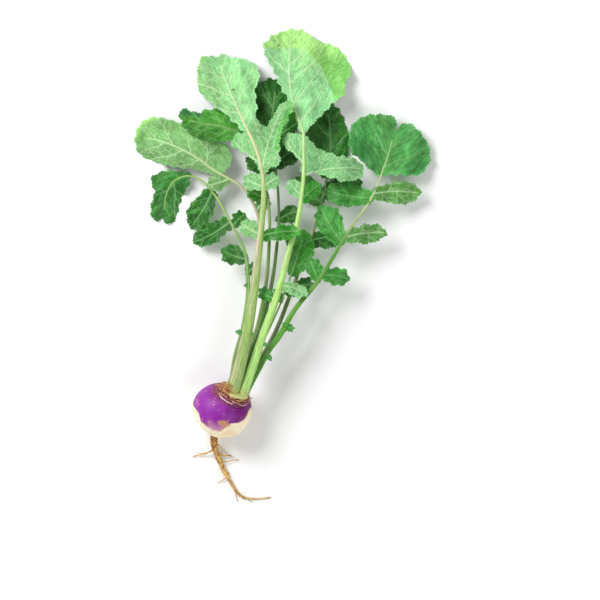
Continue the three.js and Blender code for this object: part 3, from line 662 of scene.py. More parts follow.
def skin_tone(points, along, turn, lip, groove):
    """The skin's colour: cream, then purple beyond a ragged border, then the scarred crown. Light and shade
    are painted in: the purple is paler on the left and deeper on the right, the scar lips carry a painted
    highlight and the grooves below them painted shade.
    """
    border, softness = border_at(turn)
    beyond = along - border + 0.9 * rough(points, 4.0, 3) + 0.4 * noise(points, 0.9, 8)
    side = np.cos(turn)
    cream = mixed(CREAM, CREAM_SHADE, 0.35 + 0.5 * rough(points, 9.0, 5))
    # Painted light and shade: the purple is paler on the left, towards the key light, and deeper on the
    # right, away from it; it is partly the skin's own deeper purple too.
    skin = mixed(PURPLE_PALE_AND_LIT, PURPLE, 0.45 + 0.55 * rough(points, 6.0, 7) + 0.5 * side)
    deep = smooth(-0.1, 1.0, side) * 0.8 + 0.25 * rough(points, 4.0, 12)
    skin = mixed(skin, PURPLE_DEEP_AND_SHADED, deep * smooth(-4, 10, along) + 0.25 * smooth(11, 16, along))
    skin = skin * (1 + 0.14 * noise(wound(turn, along, 13, 9), 0.45, 29))[:, None]
    skin = mixed(skin, LILAC, 0.8 * smooth(11.0, 1.5, beyond) * smooth(1.3, 3.0, softness))
    tone = mixed(cream, skin, smooth(-0.5, 0.5, beyond / softness))
    tone = mixed(tone, TAN, 0.5 * hill(beyond, 1.2) * smooth(0.1, 0.6, noise(points, 3.0, 31)))
    patch = spot_on(turn, along, *PATCH) + 0.6 * rough(points, 3.4, 9)
    tone = mixed(tone, TAN, 0.84 * smooth(0.25, 0.95, patch))
    blush = spot_on(turn, along, *BLUSH) * smooth(-0.3, 0.6, rough(points, 5.0, 26))
    tone = mixed(tone, TAN, 0.45 * blush)
    grain = 0.25 * noise(points, 0.8, 4)
    for place, distance, width, length in FLECKS:
        fleck = spot_on(turn, along, place, distance, width / MM_A_DEGREE, length)
        tone = mixed(tone, FLECK, 0.8 * smooth(0.25, 0.7, fleck + grain))
    crown = along + 1.3 * noise(points, 3.0, 14) + 0.7 * np.cos(turn - math.radians(240))
    crown = smooth(17.2, 19.6, crown)
    bark = mixed(SCAR_ROSE, SCAR_GOLD, 0.16 + 1.3 * rough(points, 1.6, 15) + 0.25 * (along - 21))
    rings = columns(along / 0.62, 2.4 * side, 2.4 * np.sin(turn))
    bark = mixed(bark, SCAR_DARK_AND_SHADE, 0.85 * smooth(0.05, 0.6, noise(rings, 1.0, 17)))
    tone = mixed(tone, bark, crown)
    scratches = smooth(0.35, 0.8, noise(rings, 1.0, 27)) * smooth(13.5, 16.5, along) * (1 - crown)
    tone = mixed(tone, mixed(SCAR_DARK_AND_SHADE, TAN, 0.5), 0.5 * scratches)
    # Painted highlight: the raised scar lips are painted pale, partly their own pale pink and straw, partly
    # a highlight along the lips.
    lit_pale_lip = smooth(0.4, 0.85, lip + 0.3 * noise(points, 1.1, 16)) * smooth(15.5, 17.5, along)
    lip_tone_and_highlight = mixed(SCAR_PALE_AND_LIT, SCAR_STRAW, smooth(19.6, 22.0, along + 0.8 * noise(points, 2.8, 18)))
    tone = mixed(tone, lip_tone_and_highlight, 0.85 * lit_pale_lip)
    # Painted shade: the grooves below the scar lips are darkened in colour as well as sunk in the mesh.
    tone = mixed(tone, SCAR_DARK_AND_SHADE, np.clip(groove, 0, 1) * smooth(14.5, 16.5, along) * 0.92)
    green = smooth(23.0, 24.0, along + 0.4 * noise(points, 1.5, 19)) * by_roll(turn)
    tone = mixed(tone, COLLAR, np.maximum(green, smooth(24.2, 24.8, along) * smooth(-0.6, 0.4, side)))
    return mixed(tone, ROOT_BROWN, 0.85 * smooth(-21.6, -23.2, along + 0.8 * noise(points, 1.4, 33)))


def bulb(build):
    profile = Curve(BULB_PROFILE)
    count = int(profile.length / (BULB_STEP * COARSE))
    sides = BULB_AROUND // COARSE
    along, radius = np.repeat(profile.at(np.linspace(0, 1, count)), sides, axis=0).T
    turn = np.tile(round_turns(sides), count)
    uneven = 0.016 * np.sin(2 * turn + 0.7) + 0.01 * np.sin(3 * turn + 2 + along / 9)
    radius = radius * (1 + uneven * smooth(NECK_TOP, NECK_TOP - 3, along))
    flat = in_bulb(along, radius * np.cos(turn), -radius * np.sin(turn))
    lip, groove = scar_relief(along, turn)
    wrinkles = 0.16 * rough(flat, 7.0, 21) + 0.05 * noise(columns(along * 3, turn * 6, 0), 1.6, 22)
    dimples = -0.16 * smooth(0.55, 0.9, noise(flat, 2.6, 23)) * smooth(18, 10, along)
    _, _, distance, height = COLLAR_ROLL
    roll = height * by_roll(turn) * hill(along - distance, 0.8)
    furrow = -0.5 * hill(along + 23.3, 0.7)
    radius = radius + wrinkles + dimples + furrow + lip + roll - 0.5 * groove
    points = in_bulb(along, radius * np.cos(turn), -radius * np.sin(turn))
    blunt = BLUNT_END * smooth(-6, -18, along) * smooth(0.3, -0.5, np.sin(turn))
    points += blunt[:, None] * AXIS
    keep_above(points, 0)
    tone = skin_tone(flat, along, turn, lip, groove)
    build.add(points, loft_faces(count, sides), 0, tone, wound(turn, along), np.clip(lip + groove, 0, 1))


def root_tube(build, root, sides, step, seed, taper=1.5, colours=(ROOT_TAN, ROOT_BROWN)):
    """A root of round section that thins along its length, with rings, knobs and brown patches."""
    thick, thin, points = root
    curve = Curve(points)
    rings = max(6, int(curve.length / step))
    share = np.linspace(0, 1, rings)
    middle, side, over, turn = curve.sections(share, sides)
    share = np.repeat(share, sides)
    travel = share * curve.length
    knobs = 1 + 0.14 * noise(columns(travel, 0, 0), 4.5, seed)
    radius = (thin + (thick - thin) * (1 - share) ** taper) * knobs * (1 - 0.75 * smooth(0.97, 1, share))
    outward = side * np.cos(turn)[:, None] - over * np.sin(turn)[:, None]
    flat = middle + radius[:, None] * outward
    relief = 0.14 * rough(flat, 2.2, seed + 1) + 0.05 * np.sin(travel * 3.1 + noise(flat, 2, seed))
    points = middle + (radius * (1 + relief))[:, None] * outward
    keep_above(points, FLOOR_GAP)
    streaks = noise(columns(turn * 2.2, travel / 5, 0), 1.0, seed + 4)
    patches = 0.8 * rough(flat, 4.0, seed + 2) + 0.4 * rough(flat, 1.2, seed + 3)
    brown = smooth(0.0, 0.7, patches + 0.5 * streaks)
    if root is TAIL:
        shaded = hill(flat[:, 1] + 31, 5.0) * smooth(-0.2, 0.5, np.cos(turn))
        brown = np.maximum(brown, np.maximum(shaded, 0.7 * smooth(9.5, 7.0, travel)))
    tone = mixed(*colours, 0.04 + 0.9 * brown)
    build.add(points, loft_faces(rings, sides), 1, tone, wound(turn, travel))


def storage_root(materials):
    build = Build()
    bulb(build)
    root_tube(build, TAIL, sides=20, step=0.5, seed=70, taper=TAIL_TAPER)
    for i, rootlet in enumerate(ROOTLETS):
        root_tube(build, rootlet, sides=10, step=0.5, seed=80 + 5 * i)
    for i, points in enumerate(HAIR_ROOTS):
        root_tube(build, (*HAIR_SIZE, points), sides=6, step=0.6, seed=140 + 5 * i)
    root_tube(build, STUB, sides=12, step=0.4, seed=130, colours=(STUB_GREEN, TAN))
    return build.piece("storage_root_fine", materials)


# Leaves

def stalk_size(leaf, share):
    thin = (1 - share) ** STALK_TAPER
    wide, deep = leaf["foot"]
    return (STALK_TIP + (wide - STALK_TIP) * thin) / 2, (RIB_DEPTH + (deep - RIB_DEPTH) * thin) / 2


def rib_of(leaf):
    """The midrib's middle line, from the crown to the leaf's tip."""
    foot = in_bulb(NECK_TOP + SEAT_GAP, *leaf["seat"])
    points = [foot, foot + AXIS * STALK_START]
    for i, (x, y, z) in enumerate(leaf["rib"]):
        depth = stalk_size(leaf, (i + 2) / (len(leaf["rib"]) + 1))[1]
        points.append(np.array([x, y, max(z, depth)]))
    return Curve(points)


def stalk(build, leaf, rib, colour, rib_colour, mauve):
    """The stalk and midrib: rounded and finely ribbed on the leaf's underside, grooved on its upper side."""
    seed = leaf["seed"]
    sides = STALK_AROUND // COARSE
    rings = int((rib.length + STALK_SUNK) / (STALK_STEP * COARSE))
    travel = np.linspace(-STALK_SUNK, rib.length, rings)
    middle, side, over, turn = rib.sections(np.clip(travel / rib.length, 0, 1), sides)
    along = np.repeat(travel, sides)
    share = np.clip(along / rib.length, 0, 1)
    middle = middle + np.minimum(along, 0)[:, None] * AXIS
    flare = (1 + 0.05 * np.exp(-np.maximum(along, 0) / 3.5)) * (1 - 0.45 * smooth(0.8, 1, share))
    wide, deep = (size * flare for size in stalk_size(leaf, share))
    cos, sin = np.cos(turn), np.sin(turn)
    inward = np.clip(sin if leaf["turned"] else -sin, 0, 1)
    hollow = 1 - 0.16 * inward - 0.2 * inward * hill(cos, 0.4)
    ribs = 0.022 * np.cos(11 * turn + seed) + 0.012 * np.cos(23 * turn)
    ribs = 1 + np.clip(wide / 2.5, 0, 1) * (1 - inward) * ribs
    points = middle + side * (wide * ribs * cos)[:, None] - over * (deep * ribs * hollow * sin)[:, None]
    points += 0.05 * rough(points, 6.0, seed, 2)[:, None] * over
    keep_above(points, FLOOR_GAP)
    stretched = points * np.array([1.0, 0.22, 1.0])
    flush = mauve * smooth(-0.2, 0.8, 0.9 * rough(stretched, 9.0, seed + 2) - 0.5 * cos)
    streaks = 0.2 * noise(wound(turn, along, 4, 30), 1.0, seed + 4)
    streaks += 0.18 * noise(wound(turn, along, 9, 18), 1.0, seed + 7)
    tone = mixed(colour, MAUVE, flush) * (1 + streaks)[:, None]
    tone = mixed(tone, COLLAR, 0.75 * smooth(7.0, 0.5, along))
    tone = mixed(tone, rib_colour, 0.9 * smooth(0.55, 0.78, along / rib.length))
    if leaf["name"] == "leaf_tall_left":
        sheath = smooth(5.0, 2.0, along + 3.0 * cos + 1.2 * noise(points, 1.4, 35)) * smooth(0.7, -0.2, cos)
        dark = smooth(0.0, 0.6, noise(points * np.array([0.5, 1.6, 1.6]), 1.2, 36))
        tone = mixed(tone, mixed(SCAR_GOLD, SCAR_DARK_AND_SHADE, dark), 0.9 * sheath)
    build.add(points, loft_faces(rings, sides), 2, tone, wound(turn, along))


def side_lobe(rib, lobe):
    """The outline of a lobe that leaves the midrib, seen from above."""
    foot, way = rib.at(lobe["at"]), rib.way(lobe["at"])
    ahead = heading(math.atan2(way[1], way[0]) + lobe["side"] * math.radians(lobe["angle"]))
    aside = np.array([-ahead[1], ahead[0]])
    return [foot[:2] + a * lobe["length"] * ahead + b * lobe["width"] * aside for a, b in LOBE_SHAPE]


def toothed_rim(outline, seed):
    """The rim seen from above, turning left, with the model's teeth and smaller ones between them."""
    curve = Curve(outline, closed=True)
    count = 2 * 4 * max(2, round(curve.length / TOOTH_SPACING / 4))
    fine = max(3, round(curve.length / count / GRID))
    path = curve.at(np.arange(count) / count)
    turns_left = (path[:, 0] * np.roll(path[:, 1], -1) - np.roll(path[:, 0], -1) * path[:, 1]).sum() > 0
    place = np.arange(count * fine) / fine
    rim = curve.at(place / count if turns_left else ((count - 1 - place) / count) % 1)
    ahead = np.roll(rim, -2, axis=0) - np.roll(rim, 2, axis=0)
    out = unit(columns(ahead[:, 1], -ahead[:, 0]))
    numbers = np.arange(count + 1)
    push = TOOTH_DEPTH * (SMALLEST_TOOTH + (1 - SMALLEST_TOOTH) * chance(numbers, seed))
    push = np.where(numbers % 2 == 1, push, 0)
    push[-1] = push[0]
    small = 0.85 * np.abs(np.sin(place * math.pi * 1.5 + 6 * chance(1, seed))) - 0.4
    small += 0.5 * noise(columns(place * 1.4, 0, 0), 1.0, seed)
    return rim + out * (np.interp(place, numbers, push) + small)[:, None]


def filled(rim):
    """Points and triangles that fill a rim seen from above. The first points are the rim's own."""
    low, high = rim.min(axis=0), rim.max(axis=0)
    inside = []
    for i, y in enumerate(np.arange(low[1], high[1], GRID * 0.87)):
        inside.append(columns(np.arange(low[0] + (i % 2) * GRID / 2, high[0], GRID), y))
    inside = np.vstack(inside)
    numbers = np.arange(len(inside))
    inside = inside + 0.35 * GRID * (columns(chance(numbers, 3), chance(numbers, 5)) - 0.5)
    start, end = rim, np.roll(rim, -1, axis=0)
    x, y = inside[:, :1], inside[:, 1:]
    crosses = (start[:, 1] > y) != (end[:, 1] > y)
    rise = np.where(start[:, 1] == end[:, 1], 1e-9, end[:, 1] - start[:, 1])
    hit = crosses & (x < start[:, 0] + (y - start[:, 1]) / rise * (end[:, 0] - start[:, 0]))
    inside = inside[hit.sum(axis=1) % 2 == 1]
    inside = inside[distance_to(np.vstack([rim, rim[:1]]), inside) > 0.55 * GRID]
    places = [Vector(place) for place in np.vstack([rim, inside])]
    points, _, faces, _, _, _ = delaunay_2d_cdt(places, [], [list(range(len(rim)))], 1, 1e-5)
    return np.array([tuple(point) for point in points]), np.array([tuple(face) for face in faces])


def rim_edges(triangles):
    """The directed edges that only one triangle uses."""
    pairs = np.vstack([triangles[:, [i, (i + 1) % 3]] for i in range(3)]).tolist()
    edges = dict.fromkeys(map(tuple, pairs))
    return [(a, b) for a, b in edges if (b, a) not in edges]


def reach_to(rim, start, way):
    """How far a line from start goes before it leaves the rim."""
    away, run = rim - start, np.roll(rim, -1, axis=0) - rim
    across = way[0] * run[:, 1] - way[1] * run[:, 0]
    across = np.where(np.abs(across) < 1e-9, 1e-9, across)
    distance = (away[:, 0] * run[:, 1] - away[:, 1] * run[:, 0]) / across
    share = (away[:, 0] * way[1] - away[:, 1] * way[0]) / across
    ahead = distance[(share >= 0) & (share <= 1) & (distance > 0.5)]
    return ahead.min() if len(ahead) else 0.0


def branch(start, angle, length, bend, wobble, parts=10):
    t = np.linspace(0, 1, parts)
    turns = angle + bend * t + wobble * np.sin(8 * t + 50 * wobble)
    steps = length / parts * columns(np.cos(turns), np.sin(turns))
    return np.vstack([start, start + np.cumsum(steps, axis=0)])


def twigs(rim, path, angle, bend, length, seed, number):
    """Short thin veins on alternate sides of a side vein."""
    found = []
    for k in range(int(length / TWIG_SPACING)):
        t = (k + 0.8) * TWIG_SPACING / length
        side = 1 if k % 2 else -1
        start = read(path, np.arange(len(path)), t * (len(path) - 1))
        turn = angle + bend * t + side * math.radians(52 + 14 * chance(k, seed + number))
        reach = min(4 + 6 * chance(k, seed + 3), 0.9 * reach_to(rim, start, heading(turn)))
        if reach > 1.5 and t <= 0.93:
            sway = 0.9 * (chance(k, seed + number + 1) - 0.5)
            found.append((branch(start, turn, reach, -math.radians(20) * side, sway, 5), 0.4, 0.16))
    return found


def vein_net(spine, rim, seed, spacing, width):
    """Veins of a blade: each a path with its width at both ends. They leave the spine on alternate sides."""
    veins = [(spine, width, 0.35 * width)]
    travel = travelled(spine)
    number, place = 0, spacing * 0.5
    while place < travel[-1] - 2:
        start = read(spine, travel, place)
        i = min(np.searchsorted(travel, place), len(spine) - 1)
        ahead = spine[i] - spine[i - 1]
        side = 1 if number % 2 else -1
        angle = math.atan2(ahead[1], ahead[0])
        angle += side * math.radians(60 - 24 * place / travel[-1] + 10 * chance(number, seed))
        bend = -side * math.radians(16)
        length = 0.97 * reach_to(rim, start, heading(angle + 0.5 * bend))
        if length > 3:
            path = branch(start, angle, length, bend, 0.4 * (chance(number, seed + 2) - 0.5))
            thick = width * min(0.62, 0.25 + length / 70)
            veins.append((path, thick, 0.3 * thick))
            veins += twigs(rim, path, angle, bend, length, seed, number)
        number += 1
        place += spacing * (0.4 + 0.2 * chance(number, seed + 0.5))
    return veins


def vein_strength(veins, places):
    """How much of a vein each place is: 1 on its line, falling off across its width."""
    start, run, thick, change, power = [], [], [], [], []
    for path, first, last in veins:
        sizes = np.linspace(first, last, len(path))
        start.append(path[:-1])
        run.append(np.diff(path, axis=0))
        thick.append(sizes[:-1])
        change.append(np.diff(sizes))
        power.append(np.full(len(path) - 1, min(1.0, 0.24 + first / 1.5)))
    start, run, thick, change, power = map(np.concatenate, (start, run, thick, change, power))
    result = []
    for block in np.array_split(places, max(1, len(places) // 1500)):
        away = block[:, None] - start
        share = np.clip((away * run).sum(axis=2) / np.maximum((run ** 2).sum(axis=1), 1e-9), 0, 1)
        gap = np.linalg.norm(away - share[..., None] * run, axis=2)
        result.append((power * hill(gap, 0.55 * (thick + share * change) + 0.12)).max(axis=1))
    return np.concatenate(result)


def spine_of(rib, outline, lobe):
    """The middle vein of a blade, seen from above."""
    path, rim = rib.at(np.linspace(0, 1, 160))[:, :2], np.array(outline)
    if lobe is None:
        first = np.linalg.norm(path - rim.mean(axis=0), axis=1).argmin()
        gaps = np.linalg.norm(path[:first + 1, None] - rim[None], axis=2).min(axis=1)
        return path[gaps.argmin():]
    if "at" in lobe:
        foot = rib.at(lobe["at"])[:2]
        run = 0.97 * (rim[4] - foot)
    else:
        foot = path[np.linalg.norm(path - rim[0], axis=1).argmin()]
        run = 0.96 * (rim[np.linalg.norm(rim - foot, axis=1).argmax()] - foot)
    t = np.linspace(0, 1, 12)[:, None]
    return foot + run * t + 0.05 * np.array([-run[1], run[0]]) * np.sin(math.pi * t)


def beside(spine, places):
    """For places seen from above: how far along the spine, lengthened at both ends, how far from it,
    and 1 on its left or -1 on its right."""
    start = spine[0] + END_REACH * 2 * unit(spine[0] - spine[1])
    end = spine[-1] + END_REACH * 2 * unit(spine[-1] - spine[-2])
    line = np.vstack([start, spine, end])
    gap, _, share, hand = nearest_on(line, places)
    return np.interp(share * (len(line) - 1), np.arange(len(line)), travelled(line)), gap, hand


def ripple_at(leaf, places):
    ripple = np.zeros(len(places))
    for i, (tall, long, turn) in enumerate(RIPPLES):
        wave = places @ heading(turn + leaf["seed"] * 1.3)
        ripple += tall * np.sin(2 * math.pi * (wave / long + chance(i, leaf["seed"])))
    return ripple


def face_colours(leaf, lobe, turned):
    """Colours of a blade's faces: the one turned up, then the one turned down. An unflipped side lobe's face
    turned up is a darker copy of the end blade's, partly painted shade.
    """
    colours = LEAF_COLOURS[leaf["name"]][:2]
    if turned != leaf["turned"]:
        return LEAF_BRIGHT if leaf["turned"] else LEAF_GREY, colours[0]
    if lobe is None:
        return colours
    return colours[0] * (PALE_LOBES_TINT_AND_SHADE if turned else DARK_LOBES_TINT_AND_SHADE), colours[1]


def blade(build, leaf, rib, samples, outline, lobe, seed):
    """One toothed blade with both faces, veins standing out below and sunk above, puckers between them."""
    rim = toothed_rim(outline, seed)
    places, triangles = filled(rim)
    spine = spine_of(rib, outline, lobe)
    wide, spacing = MAIN_VEINS if lobe is None else LOBE_VEINS
    vein = vein_strength(vein_net(spine, rim, seed, spacing, wide), places)
    edge = distance_to(np.vstack([rim, rim[:1]]), places)
    distance, height, _, _ = nearest_on(samples, places)
    lift, reach, arch = 0, END_REACH, leaf["arch"]
    if lobe is not None:
        lift, reach, arch = lobe["lift"], lobe.get("length", END_REACH), 0
    out = distance / reach
    fade = np.minimum(1, (distance / RIPPLE_REACH) ** 1.5)
    z = height + lift * out ** 1.3 - arch * out ** 2 + fade * ripple_at(leaf, places)
    flat = columns(*places.T, 10.0 * seed)
    puckers = noise(flat, 5.0, 1) + 0.5 * noise(flat, 2.6, 2)
    z += PUCKER * (1 - vein) * smooth(0.5, 4, distance) * puckers
    run, gap, hand = beside(spine, places)
    across = run * math.sin(WRINKLE_TURN) - gap * math.cos(WRINKLE_TURN)
    onward = run * math.cos(WRINKLE_TURN) + gap * math.sin(WRINKLE_TURN)
    drawn = columns(across / 3.0, onward / 15.0, hand * gap / 9.0 + seed)
    folds = rough(drawn, 1.0, 9)
    z += WRINKLE * (1.0 if leaf["turned"] else 1.7) * smooth(0.5, 4, gap) * folds
    z += RUFFLE * np.exp(-edge / 3.5) * rough(flat, 7.0, 3, 2) * smooth(1, 6, distance)
    curl = curl_of(leaf, places)
    z = np.maximum(z - CURL_DROP * np.maximum(curl, 0), BLADE_THICKNESS / 2 + FLOOR_GAP)
    points = columns(*places.T, z)
    normals = vertex_normals(points, triangles)
    half = 0.5 * BLADE_THICKNESS * smooth(0, RIM_TAPER, edge)
    body = vein * smooth(0, 1.5, edge)
    turned = leaf["turned"] != (lobe is not None and lobe.get("flipped", False))
    above, below = (VEIN_RIDGE, -VEIN_GROOVE) if turned else (-VEIN_GROOVE, VEIN_RIDGE)
    top = points + normals * (half + above * body)[:, None]
    bottom = points - normals * (half + below * body)[:, None]
    keep_above(bottom, 0.02)
    # Painted shade: one half of the blade, to one side of its middle vein, is painted darker and the other
    # lighter, as if the blade were folded at the midrib and lit from one side.
    half_shade = 1 - 0.12 * hand * smooth(0.5, 8, gap)
    vein = vein * (1 - 0.6 * smooth(-1, 1, curl))
    upper, under = face_colours(leaf, lobe, turned)
    sheets = ((top, triangles, upper, turned), (bottom, triangles[:, ::-1], under, not turned))
    for sheet, faces, face, pale in sheets:
        tone = blade_tone(leaf, face, flat, edge, curl, folds, not pale) * half_shade[:, None]
        build.add(sheet, faces, int(pale), tone, drawn, vein)
    second = build.count - len(places)
    first = second - len(places)
    edges = rim_edges(triangles)
    build.faces += [(first + b, first + a, second + a, second + b) for a, b in edges]
    build.kinds += [int(turned)] * len(edges)


def curl_of(leaf, places):
    """How far a place is beyond the tallest leaf's curl line: over 0 only where its rim curls."""
    if leaf["name"] != "leaf_tall_centre":
        return np.full(len(places), -9.0)
    distance, _, _, side = nearest_on(Curve(CURL_LINE).path, places)
    inside = (places[:, 1] > CURL_LINE[-1][1] - 4) & (side > 0)
    return np.where(inside, distance, -distance)


def rows_of(leaf, table):
    return [row[1:] for row in table if row[0] == leaf["name"]]


def blade_tone(leaf, colour, places, edge, curl, folds, upper):
    """The blade's colour before its net of small veins: clouded, warmer in spots, pale at the rim. Light and
    shade are painted in along its folds, as a sheen on the upper face and on the curled rim beyond the curl
    line.
    """
    seed = leaf["seed"]
    # Painted shade and light: the tone follows the folds that lift and sink the blade, lighter on their
    # crests and darker in their troughs; the rest is clouded at random.
    shade = 1 - 0.16 * smooth(0.1, 0.9, noise(places, 5.0, 6)) + (0.36 if upper else 0.14) * folds
    shade *= 1 + (0.42 if upper else 0.26) * rough(places, 22.0, seed)
    shade *= 1 - 0.24 * smooth(0.25, 0.8, noise(places, 1.7, 46))
    warm = smooth(0.0, 0.9, noise(places, 30.0, seed + 3))
    tone = colour * shade[:, None] * (1 + warm[:, None] * WARMTH)
    # Painted sheen on the upper face: a paler green laid in broad patches and over the fold crests, partly
    # the leaf's waxy bloom.
    if upper:
        bloom_and_sheen = smooth(0.1, 0.8, noise(places, 20.0, seed + 8) + 0.6 * folds)
        tone = mixed(0.88 * tone, BLOOM_AND_SHEEN, 0.2 * bloom_and_sheen)
    # Painted light beyond the curl line: the bent rim is painted yellower and brighter, partly its own
    # yellower green, partly light on the part that faces the lamp.
    yellow_and_lit = mixed(YELLOW_GREEN, YELLOW_PALE, smooth(278, 294, places[:, 1]) * 0.8)
    tone = mixed(tone, yellow_and_lit, 0.85 * smooth(-0.5, 0.7, curl + 0.5 * noise(places, 2.0, 44)))
    for path, width, rolled in rows_of(leaf, ROLLS):
        near = distance_to(Curve(path).path, places[:, :2]) + 0.6 * noise(places, 2.5, 45)
        near = smooth(width + 0.3, width - 0.5, near)
        # The rolled rims carry the same painted light and shade along the folds.
        tone = mixed(tone, rolled * (1 + 0.2 * folds)[:, None], 0.9 * near)
    for x, y, long, wide, turn, mark in rows_of(leaf, MARKS):
        ahead = heading(math.radians(turn))
        away = places[:, :2] - np.array([x, y])
        spot = hill(away @ ahead, long) * hill(away @ np.array([-ahead[1], ahead[0]]), wide)
        tone = mixed(tone, mark, 0.85 * smooth(0.25, 0.7, spot))
    return mixed(tone, tone * 1.15 + 0.02, smooth(1.6, 0.2, edge))


def leaflet(build, samples, place, angle, length, seed):
    """A tiny toothed leaf, folded along its middle, that stands on a stalk."""
    sides, rings = 12, 14
    _, height, _, _ = nearest_on(samples, np.array([place]))
    foot = np.array([*place, height[0] + 0.5])
    ahead = np.array([*heading(math.radians(angle)), 0.25])
    aside = np.array([-ahead[1], ahead[0], 0.0])
    share = np.repeat(np.linspace(0, 1, rings), sides)
    turn = np.tile(round_turns(sides), rings)
    wide = length * (0.06 + 0.3 * np.sin(math.pi * share ** 0.8)) * (1 + 0.22 * np.sin(17 * share + seed))
    across = wide * np.cos(turn)
    points = foot + share[:, None] * length * ahead + across[:, None] * aside
    points[:, 2] += 0.5 * np.abs(across) - 0.2 * np.sin(turn) - 0.25 * length * share ** 2
    tone = mixed(LEAF_DARK, LEAF_BRIGHT, 0.5 + 0.8 * noise(points, 1.5, seed))
    build.add(points, loft_faces(rings, sides), 0, tone, points, 0.6 * hill(across, 0.25))


def bristles(build, leaf, rib):
    """Short pale hairs scattered over a stalk and its midrib."""
    numbers = np.arange(BRISTLES // COARSE)
    share = 0.06 + 0.86 * chance(numbers, leaf["seed"] + 0.3)
    turn = 2 * math.pi * chance(numbers, leaf["seed"] + 0.6)
    cos, sin = np.cos(turn), np.sin(turn)
    way = rib.way(share)
    side, over = rib.across(share)
    half_width, half_depth = stalk_size(leaf, share)
    outward = side * cos[:, None] + over * sin[:, None]
    foot = side * (0.9 * half_width * cos)[:, None] + over * (0.9 * half_depth * sin)[:, None]
    foot += rib.at(share)
    tip = foot + (1.1 + 0.8 * chance(numbers, 4))[:, None] * (outward + 0.3 * way)
    keep_above(foot, 0.2)
    keep_above(tip, 0.1)
    back, around = foot - 0.04 * way, 0.06 * np.cross(outward, way)
    points = np.stack([foot + 0.07 * way, back + around, back - around, tip], axis=1)
    faces = []
    for i in range(0, 4 * len(numbers), 4):
        faces += [(i, i + 1, i + 2), (i, i + 3, i + 1), (i + 1, i + 3, i + 2), (i + 2, i + 3, i)]
    build.add(points.reshape(-1, 3), faces, 2, mixed(COLLAR, np.ones(3), 0.4))


def leaf_piece(leaf, materials):
    rib = rib_of(leaf)
    samples = rib.at(np.linspace(0, 1, 81))
    build = Build()
    stalk(build, leaf, rib, *LEAF_COLOURS[leaf["name"]][2:])
    blade(build, leaf, rib, samples, leaf["end"], None, leaf["seed"])
    lobes = [dict(lift=lift, outline=outline) for lift, outline in leaf.get("outlined", [])]
    lobes += [dict(zip(LOBE_FIELDS, row)) for row in leaf["lobes"]]
    for i, lobe in enumerate(lobes):
        outline = lobe.get("outline") or side_lobe(rib, lobe)
        blade(build, leaf, rib, samples, outline, lobe, leaf["seed"] + 0.1 * (i + 1))
    for i, (name, x, y, angle, length) in enumerate(LEAFLETS):
        if name == leaf["name"]:
            leaflet(build, samples, (x, y), angle, length, i)
    bristles(build, leaf, rib)
    return build.piece(leaf["name"] + "_fine", materials)


# Materials

class Nodes:
    """One material's nodes, built with short calls."""

    def __init__(self, name):
        self.material = bpy.data.materials.new(name)
        self.material.use_nodes = True
        self.tree = self.material.node_tree
        self.tree.nodes.clear()
        output = self.add("OutputMaterial")
        self.shader = self.add("BsdfPrincipled")
        self.tree.links.new(self.shader.outputs["BSDF"], output.inputs["Surface"])
        self.place = self.add("TexCoord").outputs["Object"]

    def add(self, kind, inputs=None, **settings):
        node = self.tree.nodes.new("ShaderNode" + kind)
        for name, value in settings.items():
            setattr(node, name, value)
        for name, value in (inputs or {}).items():
            self.put(node.inputs[name], value)
        return node

    def put(self, socket, value):
        if isinstance(value, bpy.types.NodeSocket):
            self.tree.links.new(value, socket)
        else:
            socket.default_value = value

    def layer(self, name, output="Fac"):
        return self.add("Attribute", attribute_name=name).outputs[output]

    def maths(self, operation, first, second):
        return self.add("Math", {0: first, 1: second}, operation=operation).outputs[0]

    def total(self, first, second, weight):
        return self.maths("ADD", first, self.maths("MULTIPLY", second, weight))

    def streaks(self, scale, detail=4.0):
        """Noise in the space of the drawn-out places."""
        inputs = {0: self.layer("drawn", "Vector"), 1: scale}
        drawn = self.add("VectorMath", inputs, operation="MULTIPLY").outputs[0]
        return self.add("TexNoise", {"Vector": drawn, "Scale": 1.0, "Detail": detail}).outputs["Fac"]

    def noise(self, size_mm, detail=3.0, roughness=0.55, output="Fac"):
        inputs = {"Scale": 1 / (size_mm * MM), "Detail": detail, "Roughness": roughness}
        return self.add("TexNoise", {"Vector": self.place, **inputs}).outputs[output]

    def net(self, size_mm, width):
        """Lines of a net with cells of a size: 1 on a line, 0 between."""
        shift = self.noise(size_mm * 1.5, 2.0, 0.5, "Color")
        moved = self.add("Mix", {0: 0.0015, 4: self.place, 5: shift}, data_type="VECTOR").outputs[1]
        inputs = {"Vector": moved, "Scale": 1 / (size_mm * MM)}
        cells = self.add("TexVoronoi", inputs, feature="DISTANCE_TO_EDGE")
        return self.step(cells.outputs["Distance"], 0.0, width, 1.0, 0.0)

    def step(self, value, low, high, bottom, top):
        inputs = {"Value": value, "From Min": low, "From Max": high, "To Min": bottom, "To Max": top}
        return self.add("MapRange", inputs, interpolation_type="SMOOTHSTEP").outputs["Result"]

    def mix(self, factor, first, second, blend="MIX"):
        node = self.add("Mix", {0: factor, 6: first, 7: second}, data_type="RGBA", blend_type=blend)
        return node.outputs[2]

    def shaded(self, tone, value, low, high, bottom, top):
        """A tone made darker or lighter as a value goes from low to high."""
        shade = self.step(value, low, high, bottom, top)
        grey = self.add("CombineColor", {0: shade, 1: shade, 2: shade}).outputs[0]
        return self.mix(1.0, tone, grey, "MULTIPLY")

    def tinted(self, tone, value, low, high, most, tint):
        """A tone that takes on a tint as a value goes from low to high."""
        return self.mix(self.step(value, low, high, 0.0, most), tone, (*tint, 1.0))

    def bump(self, height, strength, depth_mm):
        inputs = {"Height": height, "Strength": strength, "Distance": depth_mm * MM}
        return self.add("Bump", inputs).outputs["Normal"]

    def finish(self, **sockets):
        for name, value in sockets.items():
            self.put(self.shader.inputs[name.replace("_", " ")], value)
        return self.material


VEIN_POWER = 0.85


